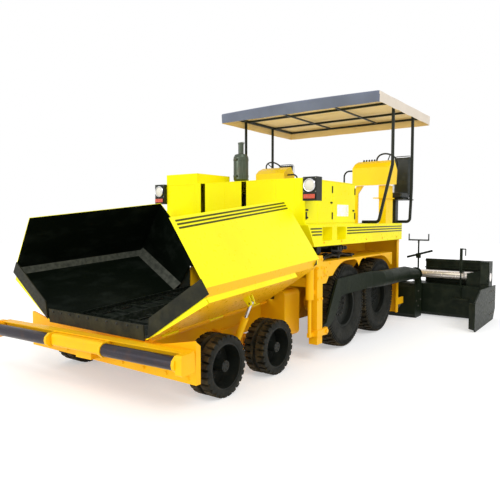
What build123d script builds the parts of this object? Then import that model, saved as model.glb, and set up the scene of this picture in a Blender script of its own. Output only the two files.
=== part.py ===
"""Wheeled asphalt paver: tractor, hopper, push rollers, augers, tow arms and extending screed.

Frame: +X forward, +Y to the machine's left, +Z up, millimetres. The ground is z = 0 and the
origin lies on it under the middle of the machine. The hopper wings stand part raised, the
screed rests on the ground with both extensions run out.
"""
from build123d import *
import os
from math import atan2, cos, degrees, hypot, pi, radians, sin, sqrt, tan

os.makedirs("parts", exist_ok=True)

# ---------------------------------------------------------------- driving dimensions
RUN = 0.3                     # radial clearance of a shaft in its bearing
SIDE_GAP = 6.0                # side clearance between moving plates

FRONT_AXLES = {"front": 2434.0, "second": 1526.0}
FRONT_WHEEL_R = 304.0
FRONT_WHEEL_W = 266.0
FRONT_TRACK_HALF = 1190.0     # to the outer face of the tyre
FRONT_RIM_R = 226.0
KINGPIN_Y = 790.0
REAR_AXLES = {"front": -80.0, "rear": -1234.0}
REAR_WHEEL_R = 560.0
REAR_WHEEL_W = 300.0
REAR_TRACK_HALF = 1245.0
REAR_RIM_R = 290.0

FRAME_HALF = 600.0            # to the outer face of the frame's side plates
FRAME_PLATE = 20.0
FRAME_REAR = -2130.0
BUMPER_X = 2964.0             # front face of the bumper plate
BUMPER_HALF = 1250.0
BUMPER_Z = (270.0, 660.0)
SHEET = 6.0                   # panel thickness of deck and hood

HOPPER_FRONT = 3070.0
HOPPER_FLOOR_Z = 620.0        # floor height at the front lip
HOPPER_SLOPE = 3.5            # the floor climbs towards the rear, degrees
HOPPER_LENGTH = 2000.0
HOPPER_HALF = 745.0           # centre line to wing hinge
WING_FLOOR = 900.0            # hinge to knee
WING_WALL_FRONT = 745.0
WING_WALL_REAR = 850.0
WING_KNEE = 62.0              # cut corner between wing floor and side wall
WING_RAKE = 55.0              # the front edge runs back by this much to the knee
WING_PLATE = 10.0
WING_RAISED = 33.0            # angle of the wing floor as stored
WING_LOWEST = 7.0
WING_HIGHEST = 47.0
HINGE_R = 22.0                # height of the floor's top over the wing hinge axis
KNUCKLE_R = 19.0
FLAP_HEIGHT = 140.0
FLAP_THICK = 12.0
TUNNEL_HEIGHT = 330.0
SLAT_PITCH = 260.0

BEAM_ROLLER_X = 3290.0        # roller axis with the beam straight
BEAM_PIN_X = 3080.0
BEAM_SWING = 4.0              # swing of the beam as stored, right end forward
BEAM_HALF = 1305.0
ROLLER_R = 60.0
ROLLER_Z = 520.0
ROLLER_INNER = 400.0
ROLLER_OUTER = 1240.0

DECK_HALF = 1240.0
DECK_TOP = 1650.0
DECK_BOTTOM = 1385.0
DECK_FRONT = 985.0
DECK_REAR = -2150.0
DECK_RAKE = 160.0             # the front skirt runs back by this much

HOOD_X = (-500.0, 900.0)
HOOD_HALF = 1150.0
HOOD_TOP = 2210.0
TOWER_X = (180.0, 900.0)      # raised part on the right-hand side
TOWER_INNER = -560.0
TOWER_TOP = 2350.0
SLOT_W = 80.0

POST_X = 845.0                # tow-point guide posts
POST_Y = (1220.0, 1330.0)
POST_W = 130.0
POST_Z = (225.0, 1285.0)
TOW_PIN = (690.0, 360.0)      # x, z of the tow pins
LEVEL_X = 995.0               # levelling cylinder axis
LEVEL_R = 48.0
ARM_Y = (1274.0, 1302.0)

SCREED_X = (-2900.0, -2550.0)
SCREED_HALF = 1335.0
END_PLATE = 15.0
END_PLATE_TOP = 850.0
SCREED_TOP = 600.0
EXT_X = (-3360.0, -2960.0)
EXT_Y = (1100.0, 2290.0)
EXT_Z = (15.0, 575.0)
SLEEVE_Y = (930.0, 1040.0)    # guide sleeves, inboard of the stored screws
GUIDE_X = -3120.0
GUIDE_Z = 738.0
GUIDE_R = 72.0
SLEEVE_WALL = 18.0
GATE_Y = (2435.0, 2455.0)
GATE_REAR = -3448.5

AUGER_X = -2345.0
AUGER_Z = 335.0
AUGER_R = 170.0
AUGER_SHAFT_R = 45.0
AUGER_PITCH = 300.0
AUGER_Y = (90.0, 1170.0)

CANOPY_X = (-2968.0, -668.0)
CANOPY_HALF = 1426.0
CANOPY_Z = (3348.0, 3533.0)
CANOPY_SKIN = 8.0
CANOPY_SAG = 25.0             # fall of the top from its middle line to its edges
RAIL_Y = 1372.0               # canopy posts and side rails
POST_PATHS = {"front": (-1330.0, 900.0, 1165.0, 2540.0), "rear": (-2200.0, 1060.0, 1352.0, 2200.0)}
POST_TUBE_R = 24.0

STEP = {"x": ((363.0, 624.0), (-28.0, 233.0)), "z": (1450.0, 1620.0), "depth": 120.0}

NODES = {}


# ---------------------------------------------------------------- small helpers
def block(x, y, z):
    """Box between a low and a high value on each axis."""
    middle = Pos((x[0] + x[1]) / 2, (y[0] + y[1]) / 2, (z[0] + z[1]) / 2)
    return middle * Box(abs(x[1] - x[0]), abs(y[1] - y[0]), abs(z[1] - z[0]))


def prism(axis, points, limits):
    """Outline in the plane across an axis, extruded between two places on that axis."""
    spots = {"x": lambda a, b: (limits[0], a, b),
             "y": lambda a, b: (a, limits[0], b),
             "z": lambda a, b: (a, b, limits[0])}[axis]
    way = {"x": (1, 0, 0), "y": (0, 1, 0), "z": (0, 0, 1)}[axis]
    face = make_face(Polyline(*[spots(a, b) for a, b in points], close=True))
    return extrude(face, amount=limits[1] - limits[0], dir=way)


def bar(start, end, radius):
    """Round bar between two points."""
    a, b = Vector(*start), Vector(*end)
    seat = Plane(origin=a, z_dir=(b - a).normalized())
    return seat * Cylinder(radius, (b - a).length, align=(Align.CENTER, Align.CENTER, Align.MIN))


def pipe(start, end, radius, bore):
    return bar(start, end, radius) - bar(start, end, bore)


def bent_tube(points, radius, bend):
    """Round tube through points, with equal bends."""
    path = FilletPolyline(*points, radius=bend)
    return sweep(Plane(origin=path @ 0, z_dir=path % 0) * Circle(radius), path=path)


def turned(points, radius_first=True):
    """Ring about the Y axis from an outline of (radius, y) points."""
    return revolve(make_face(Polyline(*[(r, y, 0) for r, y in points], close=True)), Axis.Y, 360)


def other_side(shape):
    return mirror(shape, about=Plane.XZ)


def both_sides(shape):
    return Compound(children=[shape, other_side(shape)])


def keep(name, shape):
    NODES[name] = shape


def floor_z(x):
    """Height of the hopper and conveyor floor at a place along the machine."""
    return HOPPER_FLOOR_Z + (HOPPER_FRONT - x) * tan(radians(HOPPER_SLOPE))


# ---------------------------------------------------------------- chassis
def main_frame():
    axle_top = FRONT_WHEEL_R + AXLE_HALF
    under_floor = WING_PLATE / cos(radians(HOPPER_SLOPE))
    front = BUMPER_X - FRAME_PLATE
    hopper_rear = HOPPER_FRONT - HOPPER_LENGTH - 34
    outline = [(front, axle_top), (front, floor_z(front) - under_floor),
               (hopper_rear, floor_z(hopper_rear) - under_floor), (hopper_rear - 70, DECK_BOTTOM),
               (FRAME_REAR, DECK_BOTTOM), (FRAME_REAR, 330), (1100, 330), (1180, axle_top)]
    side = prism("y", outline, (FRAME_HALF - FRAME_PLATE, FRAME_HALF))
    slope = BUMPER_HALF - 400
    plate = prism("x", [(-BUMPER_HALF, BUMPER_Z[0]), (BUMPER_HALF, BUMPER_Z[0]),
                        (BUMPER_HALF, BUMPER_Z[1]), (slope, BUMPER_Z[1] - 80),
                        (-slope, BUMPER_Z[1] - 80), (-BUMPER_HALF, BUMPER_Z[1])],
                  (BUMPER_X - FRAME_PLATE, BUMPER_X))
    cheek = prism("y", [(BUMPER_X - 60, BUMPER_Z[0]), (BUMPER_X, BUMPER_Z[0]),
                        (BUMPER_X, BUMPER_Z[1]), (BUMPER_X - 60, BUMPER_Z[1] - 50)],
                  (BUMPER_HALF, BUMPER_HALF + 15))
    frame = side + other_side(side) + plate + cheek + other_side(cheek)
    for x, z in CROSS_MEMBERS:
        frame += block((x - 50, x + 50), (-FRAME_HALF + FRAME_PLATE, FRAME_HALF - FRAME_PLATE),
                       (z, z + 80))
    tank = block(TANK_X, (FRAME_HALF, TANK_OUTER), TANK_Z)
    tank = fillet(tank.edges().filter_by(Axis.X).sort_by(Axis.Y)[-2:], 60)
    frame += tank + other_side(tank)
    beam = block((POST_X - 60, POST_X + 60), (FRAME_HALF, POST_Y[0]), BEAM_Z)
    frame += beam + other_side(beam)
    for z in (340, 455):
        frame += prism("z", [(BUMPER_X, -160), (BEAM_PIN_X, -38), (BEAM_PIN_X, 38), (BUMPER_X, 160)],
                       (z, z + 20))
        frame += bar((BEAM_PIN_X, 0, z), (BEAM_PIN_X, 0, z + 20), 38)
    frame += bar((BEAM_PIN_X, 0, 335), (BEAM_PIN_X, 0, 480), 30)
    return frame


def cylinder_brackets():
    """Lugs welded to the frame's side plates for the lower pins of the wing cylinders."""
    v, w = CYL_BASE
    root = FRAME_HALF - HOPPER_HALF
    lug = prism("x", [(root, w - 36), (v + 12, w - 28), (v + 28, w), (v, w + 30), (root, w + 110)],
                (-BASE_HALF - 18, -BASE_HALF))
    lugs = lug + Pos(2 * BASE_HALF + 18, 0, 0) * lug
    lugs += block((-BASE_HALF - 18, BASE_HALF + 18), (root, v - 34), (w - 36, w - 24))
    lugs += bar((-BASE_HALF - 18, v, w), (BASE_HALF + 18, v, w), BASE_PIN)
    return both_sides(wing_place(1, 0) * Pos(CYL_U, 0, 0) * lugs)


AXLE_HALF = 60.0
CROSS_MEMBERS = ((2700, 370), (1250, 400), (500, 1305), (-250, 1305), (-657, 500), (-1900, 400))
TANK_X = (680.0, 1030.0)
TANK_OUTER = 950.0
TANK_Z = (270.0, 850.0)
BEAM_Z = (905.0, 1010.0)
CYL_U = -1085.0               # wing cylinders stand between the front wheels
BASE_HALF = 22.0              # half the width between the lower lugs
BASE_PIN = 14.0
CYL_BASE = (185.0, -264.0)    # lower pin, outward and up from the wing hinge
CYL_EYE = (450.0, -60.0)      # upper pin, outward and up from the hinge with the wing flat
CYL_R = 38.0


def conveyors():
    """Sloping floor, centre guard, side rails and the slats of both drag chains."""
    tunnel = HOPPER_LENGTH + 30
    length = (HOPPER_FRONT - FRAME_REAR) / cos(radians(HOPPER_SLOPE)) - 25
    inner = FRAME_HALF - FRAME_PLATE - 5
    floor = block((-tunnel, 0), (-HOPPER_HALF + 30, HOPPER_HALF - 30), (-WING_PLATE, 0))
    floor += block((-length, -tunnel), (-inner, inner), (-WING_PLATE, 0))
    guard = prism("x", [(-45, 0), (45, 0), (15, 70), (-15, 70)], (-length, -20))
    rail = prism("x", [(inner - 35, 0), (inner, 0), (inner, 55), (inner - 20, 55)], (-length, -20))
    cover = prism("x", [(inner - 35, 50), (inner + 45, -2), (inner + 60, -2), (inner - 20, 70),
                        (inner - 35, 70)], (-HOPPER_LENGTH, -20))
    side = rail + cover
    solid = floor + guard + side + other_side(side)
    count = int((length - 200) // SLAT_PITCH)
    for i in range(count):
        x = -140 - i * SLAT_PITCH
        slat = block((x - 22, x + 22), (60, inner - 45), (0, 24))
        solid += slat + other_side(slat)
    return solid


def hopper_back_wall():
    """Fixed wall behind the wings' rear plates, with the two conveyor mouths."""
    x = HOPPER_FRONT - HOPPER_LENGTH - 24
    low = floor_z(x)
    half = HOPPER_HALF + 60
    low += 1
    wall = prism("x", [(-half, low), (half, low), (half, low + 420), (half - 160, 1560),
                       (-half + 160, 1560), (-half, low + 420)], (x - 8, x))
    mouth = block((x - 20, x + 20), (30, FRAME_HALF - 20), (low - 20, low + TUNNEL_HEIGHT))
    wall -= mouth + other_side(mouth)
    return wall - block((x - 20, x + 20), (-46, 46), (low - 20, low + 75))


def axle_beams():
    """Front beams with forked ends, and the rear tandem cases with their spindles."""
    solids = []
    for x in FRONT_AXLES.values():
        z = FRONT_WHEEL_R
        beam = block((x - 50, x + 50), (-KINGPIN_Y + 55, KINGPIN_Y - 55), (z - AXLE_HALF, z + AXLE_HALF))
        for side in (1, -1):
            for low in (z - 85, z + 60):
                ear = block((x - 40, x + 40), (side * (KINGPIN_Y - 110), side * KINGPIN_Y),
                            (low, low + 25))
                beam += ear + Pos(x, side * KINGPIN_Y, low + 12.5) * Cylinder(40, 25)
            beam += block((x - 40, x + 40), (side * (KINGPIN_Y - 110), side * (KINGPIN_Y - 55)),
                          (z - 85, z + 85))
            beam += Pos(x, side * KINGPIN_Y, z) * Cylinder(18, 190)
        solids.append(beam)
    front, rear = REAR_AXLES["front"], REAR_AXLES["rear"]
    half = TANDEM_HALF
    z = REAR_WHEEL_R
    for side in (1, -1):
        y0, y1 = side * TANDEM_Y[0], side * TANDEM_Y[1]
        case = block((rear, front), (y0, y1), (z - half, z + half))
        for x in (front, rear):
            case += bar((x, y0, z), (x, y1, z), half)
            case += bar((x, y1, z), (x, side * SPINDLE_END, z), SPINDLE_R)
        middle = (front + rear) / 2
        case += bar((middle, side * FRAME_HALF, z), (middle, y0, z), 95)
        solids.append(case)
    return Compound(children=solids)


TANDEM_Y = (650.0, 780.0)
TANDEM_HALF = 135.0
SPINDLE_R = 60.0
SPINDLE_END = 1070.0


def fenders():
    """Flat top plate over the tandem wheels, with an arched valance along its outer edge."""
    arch, top = REAR_WHEEL_R + 48, REAR_WHEEL_R + 631
    crown = REAR_WHEEL_R + arch
    front, rear = REAR_AXLES["front"], REAR_AXLES["rear"]
    nose, tail, hem = front + 590, rear - 486, 1000.0
    curve, reach = 190.0, 170.0
    cusp = (front - 380, crown - curve + sqrt(curve ** 2 - reach ** 2))
    y = FENDER_OUTER - SHEET

    def arc(centre, radius, start, end):
        spots = []
        for angle in (start, (start + end) / 2, end):
            spots.append(Vector(centre[0] + radius * cos(angle), y, centre[1] + radius * sin(angle)))
        return ThreePointArc(*spots)

    low = atan2(hem - REAR_WHEEL_R, sqrt(arch ** 2 - (hem - REAR_WHEEL_R) ** 2))
    tip = atan2(cusp[1] - crown + curve, reach)
    arcs = [arc((front, REAR_WHEEL_R), arch, low, pi / 2),
            arc((cusp[0] + reach, crown - curve), curve, pi / 2, pi - tip),
            arc((cusp[0] - reach, crown - curve), curve, tip, pi / 2),
            arc((rear, REAR_WHEEL_R), arch, pi / 2, pi - low)]
    spots = [Vector(nose, y, top), Vector(nose, y, hem), arcs[0] @ 0]
    edges = [Line(spots[0], spots[1]), Line(spots[1], spots[2]), arcs[0], Line(arcs[0] @ 1, arcs[1] @ 0),
             arcs[1], arcs[2], Line(arcs[2] @ 1, arcs[3] @ 0), arcs[3],
             Line(arcs[3] @ 1, Vector(tail, y, hem)), Line(Vector(tail, y, hem), Vector(tail, y, top)),
             Line(Vector(tail, y, top), spots[0])]
    valance = extrude(make_face(edges), amount=SHEET, dir=(0, 1, 0))
    plate = block((tail, nose), (FRAME_HALF, FENDER_OUTER), (top - SHEET, top))
    return both_sides(plate + valance)


FENDER_OUTER = 1240.0


def deck():
    """Folded deck: top sheet, skirts with two foot holes a side, and cross bearers."""
    low, top = DECK_BOTTOM, DECK_TOP
    side_top = block((DECK_REAR, DECK_FRONT), (FRAME_HALF, DECK_HALF), (top - SHEET, top))
    outline = [(DECK_REAR, low), (DECK_FRONT - DECK_RAKE, low), (DECK_FRONT, top), (DECK_REAR, top)]
    skirt = prism("y", outline, (DECK_HALF - SHEET, DECK_HALF))
    nose = prism("y", [(DECK_FRONT - DECK_RAKE, low), (DECK_FRONT - DECK_RAKE - SHEET, low),
                       (DECK_FRONT - SHEET, top), (DECK_FRONT, top)], (FRAME_HALF, DECK_HALF))
    half = side_top + skirt + nose
    for x in (640, -300, -1250, DECK_REAR + SHEET):
        half += block((x - SHEET, x), (FRAME_HALF, DECK_HALF), (low, top))
    inner = DECK_HALF - STEP["depth"]
    for x0, x1 in STEP["x"]:
        z0, z1 = STEP["z"]
        half -= block((x0, x1), (inner, DECK_HALF + 1), (z0, z1))
        pocket = block((x0 - SHEET, x1 + SHEET), (inner - SHEET, DECK_HALF - SHEET),
                       (z0 - SHEET, z1 + SHEET))
        half += pocket - block((x0, x1), (inner, DECK_HALF), (z0, z1))
    solid = half + other_side(half)
    solid += block((DECK_REAR, HOOD_X[0]), (-FRAME_HALF, FRAME_HALF), (top - SHEET, top))
    solid += block((DECK_REAR, DECK_REAR + SHEET), (-FRAME_HALF, FRAME_HALF), (low, top))
    return solid


def engine_hood():
    """Sheet cover over the engine: front wall with two upright slots, and the raised tower."""
    x0, x1 = HOOD_X
    low, top = DECK_TOP, HOOD_TOP
    shell = block((x0, x1), (-HOOD_HALF, HOOD_HALF), (low, top))
    shell += block(TOWER_X, (-HOOD_HALF, TOWER_INNER), (top, TOWER_TOP))
    hollow = block((x0 + SHEET, x1 - SHEET), (-HOOD_HALF + SHEET, HOOD_HALF - SHEET),
                   (low, top - SHEET))
    shell -= hollow
    shell -= block((TOWER_X[0] + SHEET, TOWER_X[1] - SHEET), (-HOOD_HALF + SHEET, TOWER_INNER - SHEET),
                   (low, TOWER_TOP - SHEET))
    for y in SLOTS_Y:
        shell -= block((x1 - 20, x1 + 1), (y - SLOT_W / 2, y + SLOT_W / 2), (low + 60, top + 1))
    for i in range(7):
        z = low + 120 + i * 55
        shell -= block((x0 - 1, x0 + 20), (-350, 350), (z, z + 22))
    return shell


SLOTS_Y = (-460.0, 240.0)
ENGINE = {"x": (-330.0, 620.0), "half": 370.0, "z": (1385.0, 2060.0)}
SILENCER = (150.0, -370.0)


def silencer():
    """Drum on its flanged stub, with a necked tail pipe."""
    x, y = SILENCER
    drum = [(35, HOOD_TOP), (60, HOOD_TOP), (60, HOOD_TOP + 12), (35, HOOD_TOP + 12),
            (35, HOOD_TOP + 40), (95, HOOD_TOP + 60), (110, HOOD_TOP + 90), (110, 2620), (90, 2660),
            (40, 2675), (40, 2820), (33, 2820), (33, 2640), (28, HOOD_TOP)]
    face = make_face(Polyline(*[(r, 0, z) for r, z in drum], close=True))
    return Pos(x, y, 0) * revolve(face, Axis.Z, 360)


def headlamps():
    """Square lamp boxes at the hood's front corners, with a round lens and a marker below."""
    y0, y1 = HOOD_HALF, HOOD_HALF + 185
    x1 = HOOD_X[1] + 55
    box = block((x1 - 130, x1), (y0, y1), (1935, 2215))
    middle = (y0 + y1) / 2
    box -= bar((x1 - 12, middle, 2115), (x1 + 1, middle, 2115), 80)
    box += bar((x1 - 12, middle, 2115), (x1 + 6, middle, 2115), 72)
    box += block((x1, x1 + 14), (y0 + 12, y1 - 12), (1955, 2015))
    return both_sides(box)


def rear_plate():
    """Cross plate behind the tandem, its folded edges, and the auger's bearings."""
    x = FRAME_REAR
    plate = block((x - 14, x), (-1200, 1200), (160, DECK_BOTTOM))
    plate -= block((x - 20, x + 20), (-FRAME_HALF + 25, FRAME_HALF - 25), (floor_z(x) - 80, 1330))
    edge = block((x - 14, x + 70), (1186, 1200), (160, DECK_BOTTOM))
    plate += edge + other_side(edge)
    inner, outer = AUGER_Y
    centre = block((AUGER_X - 70, x - 14), (-inner + SIDE_GAP, inner - SIDE_GAP),
                   (AUGER_Z - 75, AUGER_Z + 75))
    centre += bar((AUGER_X, -inner - 60, AUGER_Z), (AUGER_X, inner + 60, AUGER_Z), AUGER_STUB_R)
    hanger = block((AUGER_X - 55, x - 14), (outer + SIDE_GAP, outer + SIDE_GAP + 20),
                   (AUGER_Z - 55, AUGER_Z + 55))
    hanger += bar((AUGER_X, outer - 50, AUGER_Z), (AUGER_X, outer + SIDE_GAP + 20, AUGER_Z),
                  AUGER_STUB_R)
    return plate + centre + hanger + other_side(hanger)


AUGER_STUB_R = 30.0


def pump_group():
    """Pumps, valve blocks and pipes between the fender and the deck."""
    half = block((120, 460), (FRAME_HALF, 900), (1240, 1385))
    half += bar((290, 900, 1310), (290, 1010, 1310), 60)
    half += block((-420, -80), (FRAME_HALF, 1000), (1260, 1385))
    for x in (-380, -300, -220, -140):
        half += bar((x, 990, 1320), (x, 1080, 1320), 26)
    half += bar((-80, 940, 1330), (120, 860, 1330), 22)
    return both_sides(half)


def tow_posts():
    """Upright guides for the tow points with the levelling cylinders' barrels."""
    y0, y1 = POST_Y
    middle = (y0 + y1) / 2
    post = block((POST_X - POST_W / 2, POST_X + POST_W / 2), (y0, y1), POST_Z)
    rear = POST_X - POST_W / 2
    cheek = prism("y", [(rear, 930), (rear - 190, 930), (rear - 250, 1000), (rear - 265, 1080),
                        (rear - 235, 1170), (rear - 170, 1200), (rear, 1200)], (y0 + 30, y0 + 60))
    post += cheek
    front = POST_X + POST_W / 2
    ledge = block((front, LEVEL_X), (middle - 20, middle + 20), (1150, 1215))
    barrel = pipe((LEVEL_X, middle, 790), (LEVEL_X, middle, 1190), LEVEL_R, LEVEL_R - 10)
    barrel += pipe((LEVEL_X, middle, 775), (LEVEL_X, middle, 800), LEVEL_R, LEVEL_ROD + RUN)
    barrel += bar((LEVEL_X, middle, 1190), (LEVEL_X, middle, 1220), LEVEL_R)
    barrel += Pos(LEVEL_X, middle, 1233) * Cone(LEVEL_R, 12, 30)
    lower = block((front, LEVEL_X - LEVEL_R + 6), (middle - 20, middle + 20), (830, 880))
    return both_sides(post + ledge + barrel + lower)


LEVEL_ROD = 22.0


# ---------------------------------------------------------------- push rollers
def swung(shape):
    return Pos(BEAM_PIN_X, 0, 0) * Rot(0, 0, BEAM_SWING) * Pos(-BEAM_PIN_X, 0, 0) * shape


def push_beam():
    """Cross beam on its pin, with the ears that carry the rollers."""
    back, front = BEAM_ROLLER_X - 165, BEAM_ROLLER_X - 85
    beam = block((back, front), (-BEAM_HALF, BEAM_HALF), (480, 600))
    beam += block((back, front + 30), (-BEAM_HALF, BEAM_HALF), (590, 600))
    tongue = prism("z", [(BEAM_PIN_X - 20, -50), (BEAM_PIN_X + 30, -110), (back + 20, -110),
                         (back + 20, 110), (BEAM_PIN_X + 30, 110), (BEAM_PIN_X - 20, 50)], (364, 451))
    tongue += bar((BEAM_PIN_X, 0, 364), (BEAM_PIN_X, 0, 451), 55)
    tongue -= Pos(BEAM_PIN_X, 0, 410) * Cylinder(30 + RUN, 200)
    beam += tongue + block((back + 10, front), (-110, 110), (364, 490))
    ear = prism("y", [(front, 450), (BEAM_ROLLER_X + 20, 450), (BEAM_ROLLER_X + 62, 485),
                      (BEAM_ROLLER_X + 70, 520), (BEAM_ROLLER_X + 62, 555),
                      (BEAM_ROLLER_X + 20, 590), (front, 590)], (0, 30))
    for y in (ROLLER_INNER - 30 - SIDE_GAP, ROLLER_OUTER + SIDE_GAP):
        one = Pos(0, y, 0) * ear
        beam += one + other_side(one)
    nose = block((front, BEAM_ROLLER_X + 20), (-ROLLER_INNER + 60, ROLLER_INNER - 60), (460, 585))
    nose = fillet(nose.edges().filter_by(Axis.Y).sort_by(Axis.X)[-2:], 30)
    beam += nose
    cap = block((front - 40, BEAM_ROLLER_X + 50), (ROLLER_OUTER + SIDE_GAP + 30, BEAM_HALF + 40),
                (430, 605))
    cap = fillet(cap.edges().filter_by(Axis.Y), 20)
    beam += cap + other_side(cap)
    for side in (1, -1):
        beam += bar((BEAM_ROLLER_X, side * (ROLLER_INNER - 40), ROLLER_Z),
                    (BEAM_ROLLER_X, side * (ROLLER_OUTER + 40), ROLLER_Z), ROLLER_PIN)
    return swung(beam)


ROLLER_PIN = 18.0


def push_roller(side):
    x, z = BEAM_ROLLER_X, ROLLER_Z
    tube = bar((x, side * ROLLER_INNER, z), (x, side * ROLLER_OUTER, z), ROLLER_R)
    tube -= bar((x, side * (ROLLER_INNER - 1), z), (x, side * (ROLLER_OUTER + 1), z), ROLLER_PIN + RUN)
    return swung(tube)


# ---------------------------------------------------------------- hopper wings
def wing_place(side, angle):
    """Where a wing stands: its own u runs forward, v outward and w up from the hinge axis."""
    tilt = Pos(HOPPER_FRONT, side * HOPPER_HALF, HOPPER_FLOOR_Z - HINGE_R) * Rot(0, HOPPER_SLOPE, 0)
    return tilt * Rot(side * angle, 0, 0)


def hopper_wing():
    """Left wing lying flat: floor, cut knee, side wall, rear plate, knee beam and front edge."""
    top, under = HINGE_R, HINGE_R - WING_PLATE
    length, knee, cut = HOPPER_LENGTH, WING_FLOOR, WING_KNEE
    slant = WING_PLATE * sqrt(2)
    floor = block((-length, 0), (HINGE_R + 4, knee - cut - 10), (under, top))
    corner = prism("x", [(knee - cut - 20, under), (knee - cut, under), (knee, under + cut),
                         (knee, under + cut + 20), (knee - 8, under + cut + 20),
                         (knee - 8, under + cut - 8 + slant), (knee - cut - slant + WING_PLATE, top),
                         (knee - cut - 20, top)], (-length, 0))
    wall = prism("y", [(-length, under + cut + 10), (0, under + cut + 10), (0, top + WING_WALL_FRONT),
                       (-length, top + WING_WALL_REAR)], (knee - 8, knee))
    rear = prism("x", [(HINGE_R + 4, under), (knee - cut, under), (knee, under + cut),
                       (knee, top + WING_WALL_REAR), (HINGE_R + 4, top + WING_WALL_REAR - 190)],
                 (-length, -length + 8))
    strip = prism("y", [(-length + 4, top + 100), (-length + 4, top + 86), (-length + 88, top - 4),
                        (-length + 104, top - 4)], (HINGE_R + 8, knee - 4))
    wing = floor + corner + wall + rear + strip
    rake = prism("z", [(0, 0), (60, 0), (60, 2 * knee), (-2 * WING_RAKE, 2 * knee)],
                 (under - 10, top + WING_WALL_REAR))
    wing -= rake
    web = knee - cut
    wing += block((-1500, -20 - WING_RAKE), (web - 10, web), (-40, under + 2))
    wing += block((-1500, -20 - WING_RAKE), (web - 70, web), (-40, -30))
    edge = prism("x", [(60, top), (60, under), (200, top - 30), (web, top - 30), (web, top)], (-25, 0))
    edge += prism("x", [(200, top - 28), (web, -45), (web, top - 28)], (-12, 0))
    wing += Rot(0, 0, degrees(atan2(WING_RAKE, knee))) * edge
    for u0, u1 in WING_KNUCKLES:
        knuckle = bar((u0, 0, 0), (u1, 0, 0), KNUCKLE_R)
        knuckle += block((u0, u1), (0, HINGE_R + 5), (under, top))
        wing += knuckle - bar((u0 - 1, 0, 0), (u1 + 1, 0, 0), HINGE_PIN + RUN)
    v, w = CYL_EYE
    lug = prism("x", [(v - 45, under + 2), (v + 45, under + 2), (v + 24, w - 26), (v - 24, w - 26)], (-8, 8))
    lug -= bar((-9, v, w), (9, v, w), EYE_BORE)
    for offset in (-1, 1):
        place = CYL_U + offset * (EYE_HALF + SIDE_GAP + 8)
        wing += Pos(place, 0, 0) * lug
    return wing


WING_KNUCKLES = ((-420.0, -200.0), (-1110.0, -890.0), (-1800.0, -1580.0))
HINGE_PIN = 12.0
EYE_HALF = 14.0
EYE_BORE = 13.0


def hinge_bearers():
    """Fixed knuckles and pin of the left wing hinge, on the hopper floor's edge."""
    pin = bar((-HOPPER_LENGTH + 60, 0, 0), (-60, 0, 0), HINGE_PIN)
    inner = -HINGE_R - 8
    for u0, u1 in ((-190, -60), (-880, -430), (-1570, -1120), (-HOPPER_LENGTH + 60, -1810)):
        pin += bar((u0, 0, 0), (u1, 0, 0), KNUCKLE_R)
        pin += block((u0, u1), (inner, 0), (HINGE_R - 2 * WING_PLATE, HINGE_R - WING_PLATE))
    return pin


def wing_flap():
    """Rubber strip standing on the left wing's front edge, its inner end cut clear of the apron."""
    low, high = HINGE_R - 6, HINGE_R + FLAP_HEIGHT
    clear = (SIDE_GAP + high * sin(radians(WING_HIGHEST))) / cos(radians(WING_HIGHEST))
    strip = prism("x", [(60, low), (WING_FLOOR, low), (WING_FLOOR, high), (clear, high)],
                  (0.3, 0.3 + FLAP_THICK))
    return Rot(0, 0, degrees(atan2(WING_RAKE, WING_FLOOR))) * strip


def apron_flap():
    """Rubber strip across the fixed floor's front edge."""
    half = HOPPER_HALF - 5
    return block((0.3, 0.3 + FLAP_THICK), (-half, half), (-6, FLAP_HEIGHT))


def cylinder_line(angle):
    """Length and slope of the wing cylinder for a wing angle."""
    v, w = CYL_EYE
    turn = radians(angle)
    across = v * cos(turn) - w * sin(turn) - CYL_BASE[0]
    up = v * sin(turn) + w * cos(turn) - CYL_BASE[1]
    return hypot(across, up), degrees(atan2(up, across))


def wing_cylinder():
    """Left barrel and rod on the line from the frame's lower pin to the wing's lugs."""
    reach, turn = cylinder_line(WING_RAISED)
    length, wide = CYL_BARREL, BASE_HALF - SIDE_GAP
    barrel = bar((0, 60, 0), (0, length, 0), CYL_R) - bar((0, 68, 0), (0, length - 20, 0), CYL_R - 8)
    barrel -= bar((0, length - 21, 0), (0, length + 1, 0), CYL_ROD + RUN)
    barrel += block((-wide, wide), (0, 62), (-22, 22)) + bar((-wide, 0, 0), (wide, 0, 0), 26)
    barrel -= bar((-wide - 1, 0, 0), (wide + 1, 0, 0), BASE_PIN + RUN)
    rod = bar((0, reach - CYL_ROD_LENGTH, 0), (0, reach - 20, 0), CYL_ROD)
    rod += bar((0, reach - CYL_ROD_LENGTH, 0), (0, reach - CYL_ROD_LENGTH + 24, 0), CYL_R - 8 - RUN)
    rod += bar((-EYE_HALF, reach, 0), (EYE_HALF, reach, 0), 24)
    rod -= bar((-EYE_HALF - 1, reach, 0), (EYE_HALF + 1, reach, 0), EYE_BORE)
    seat = wing_place(1, 0) * Pos(CYL_U, *CYL_BASE) * Rot(turn, 0, 0)
    return seat * barrel, seat * rod


CYL_BARREL = 330.0
CYL_ROD = 20.0
CYL_ROD_LENGTH = 300.0


# ---------------------------------------------------------------- wheels
def knuckle(x, side):
    """Kingpin barrel with the wheel spindle and a steering arm."""
    z = FRONT_WHEEL_R
    y = side * KINGPIN_Y
    body = Pos(x, y, z) * Cylinder(36, 2 * AXLE_HALF - 2)
    body += bar((x, y, z), (x, side * FRONT_SPINDLE_END, z), FRONT_SPINDLE_R)
    body += block((x - 170, x - 20), (y - 14, y + 14), (z - 40, z - 22))
    return body - Pos(x, y, z) * Cylinder(18 + RUN, 200)


FRONT_SPINDLE_R = 30.0
FRONT_SPINDLE_END = 1150.0


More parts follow.
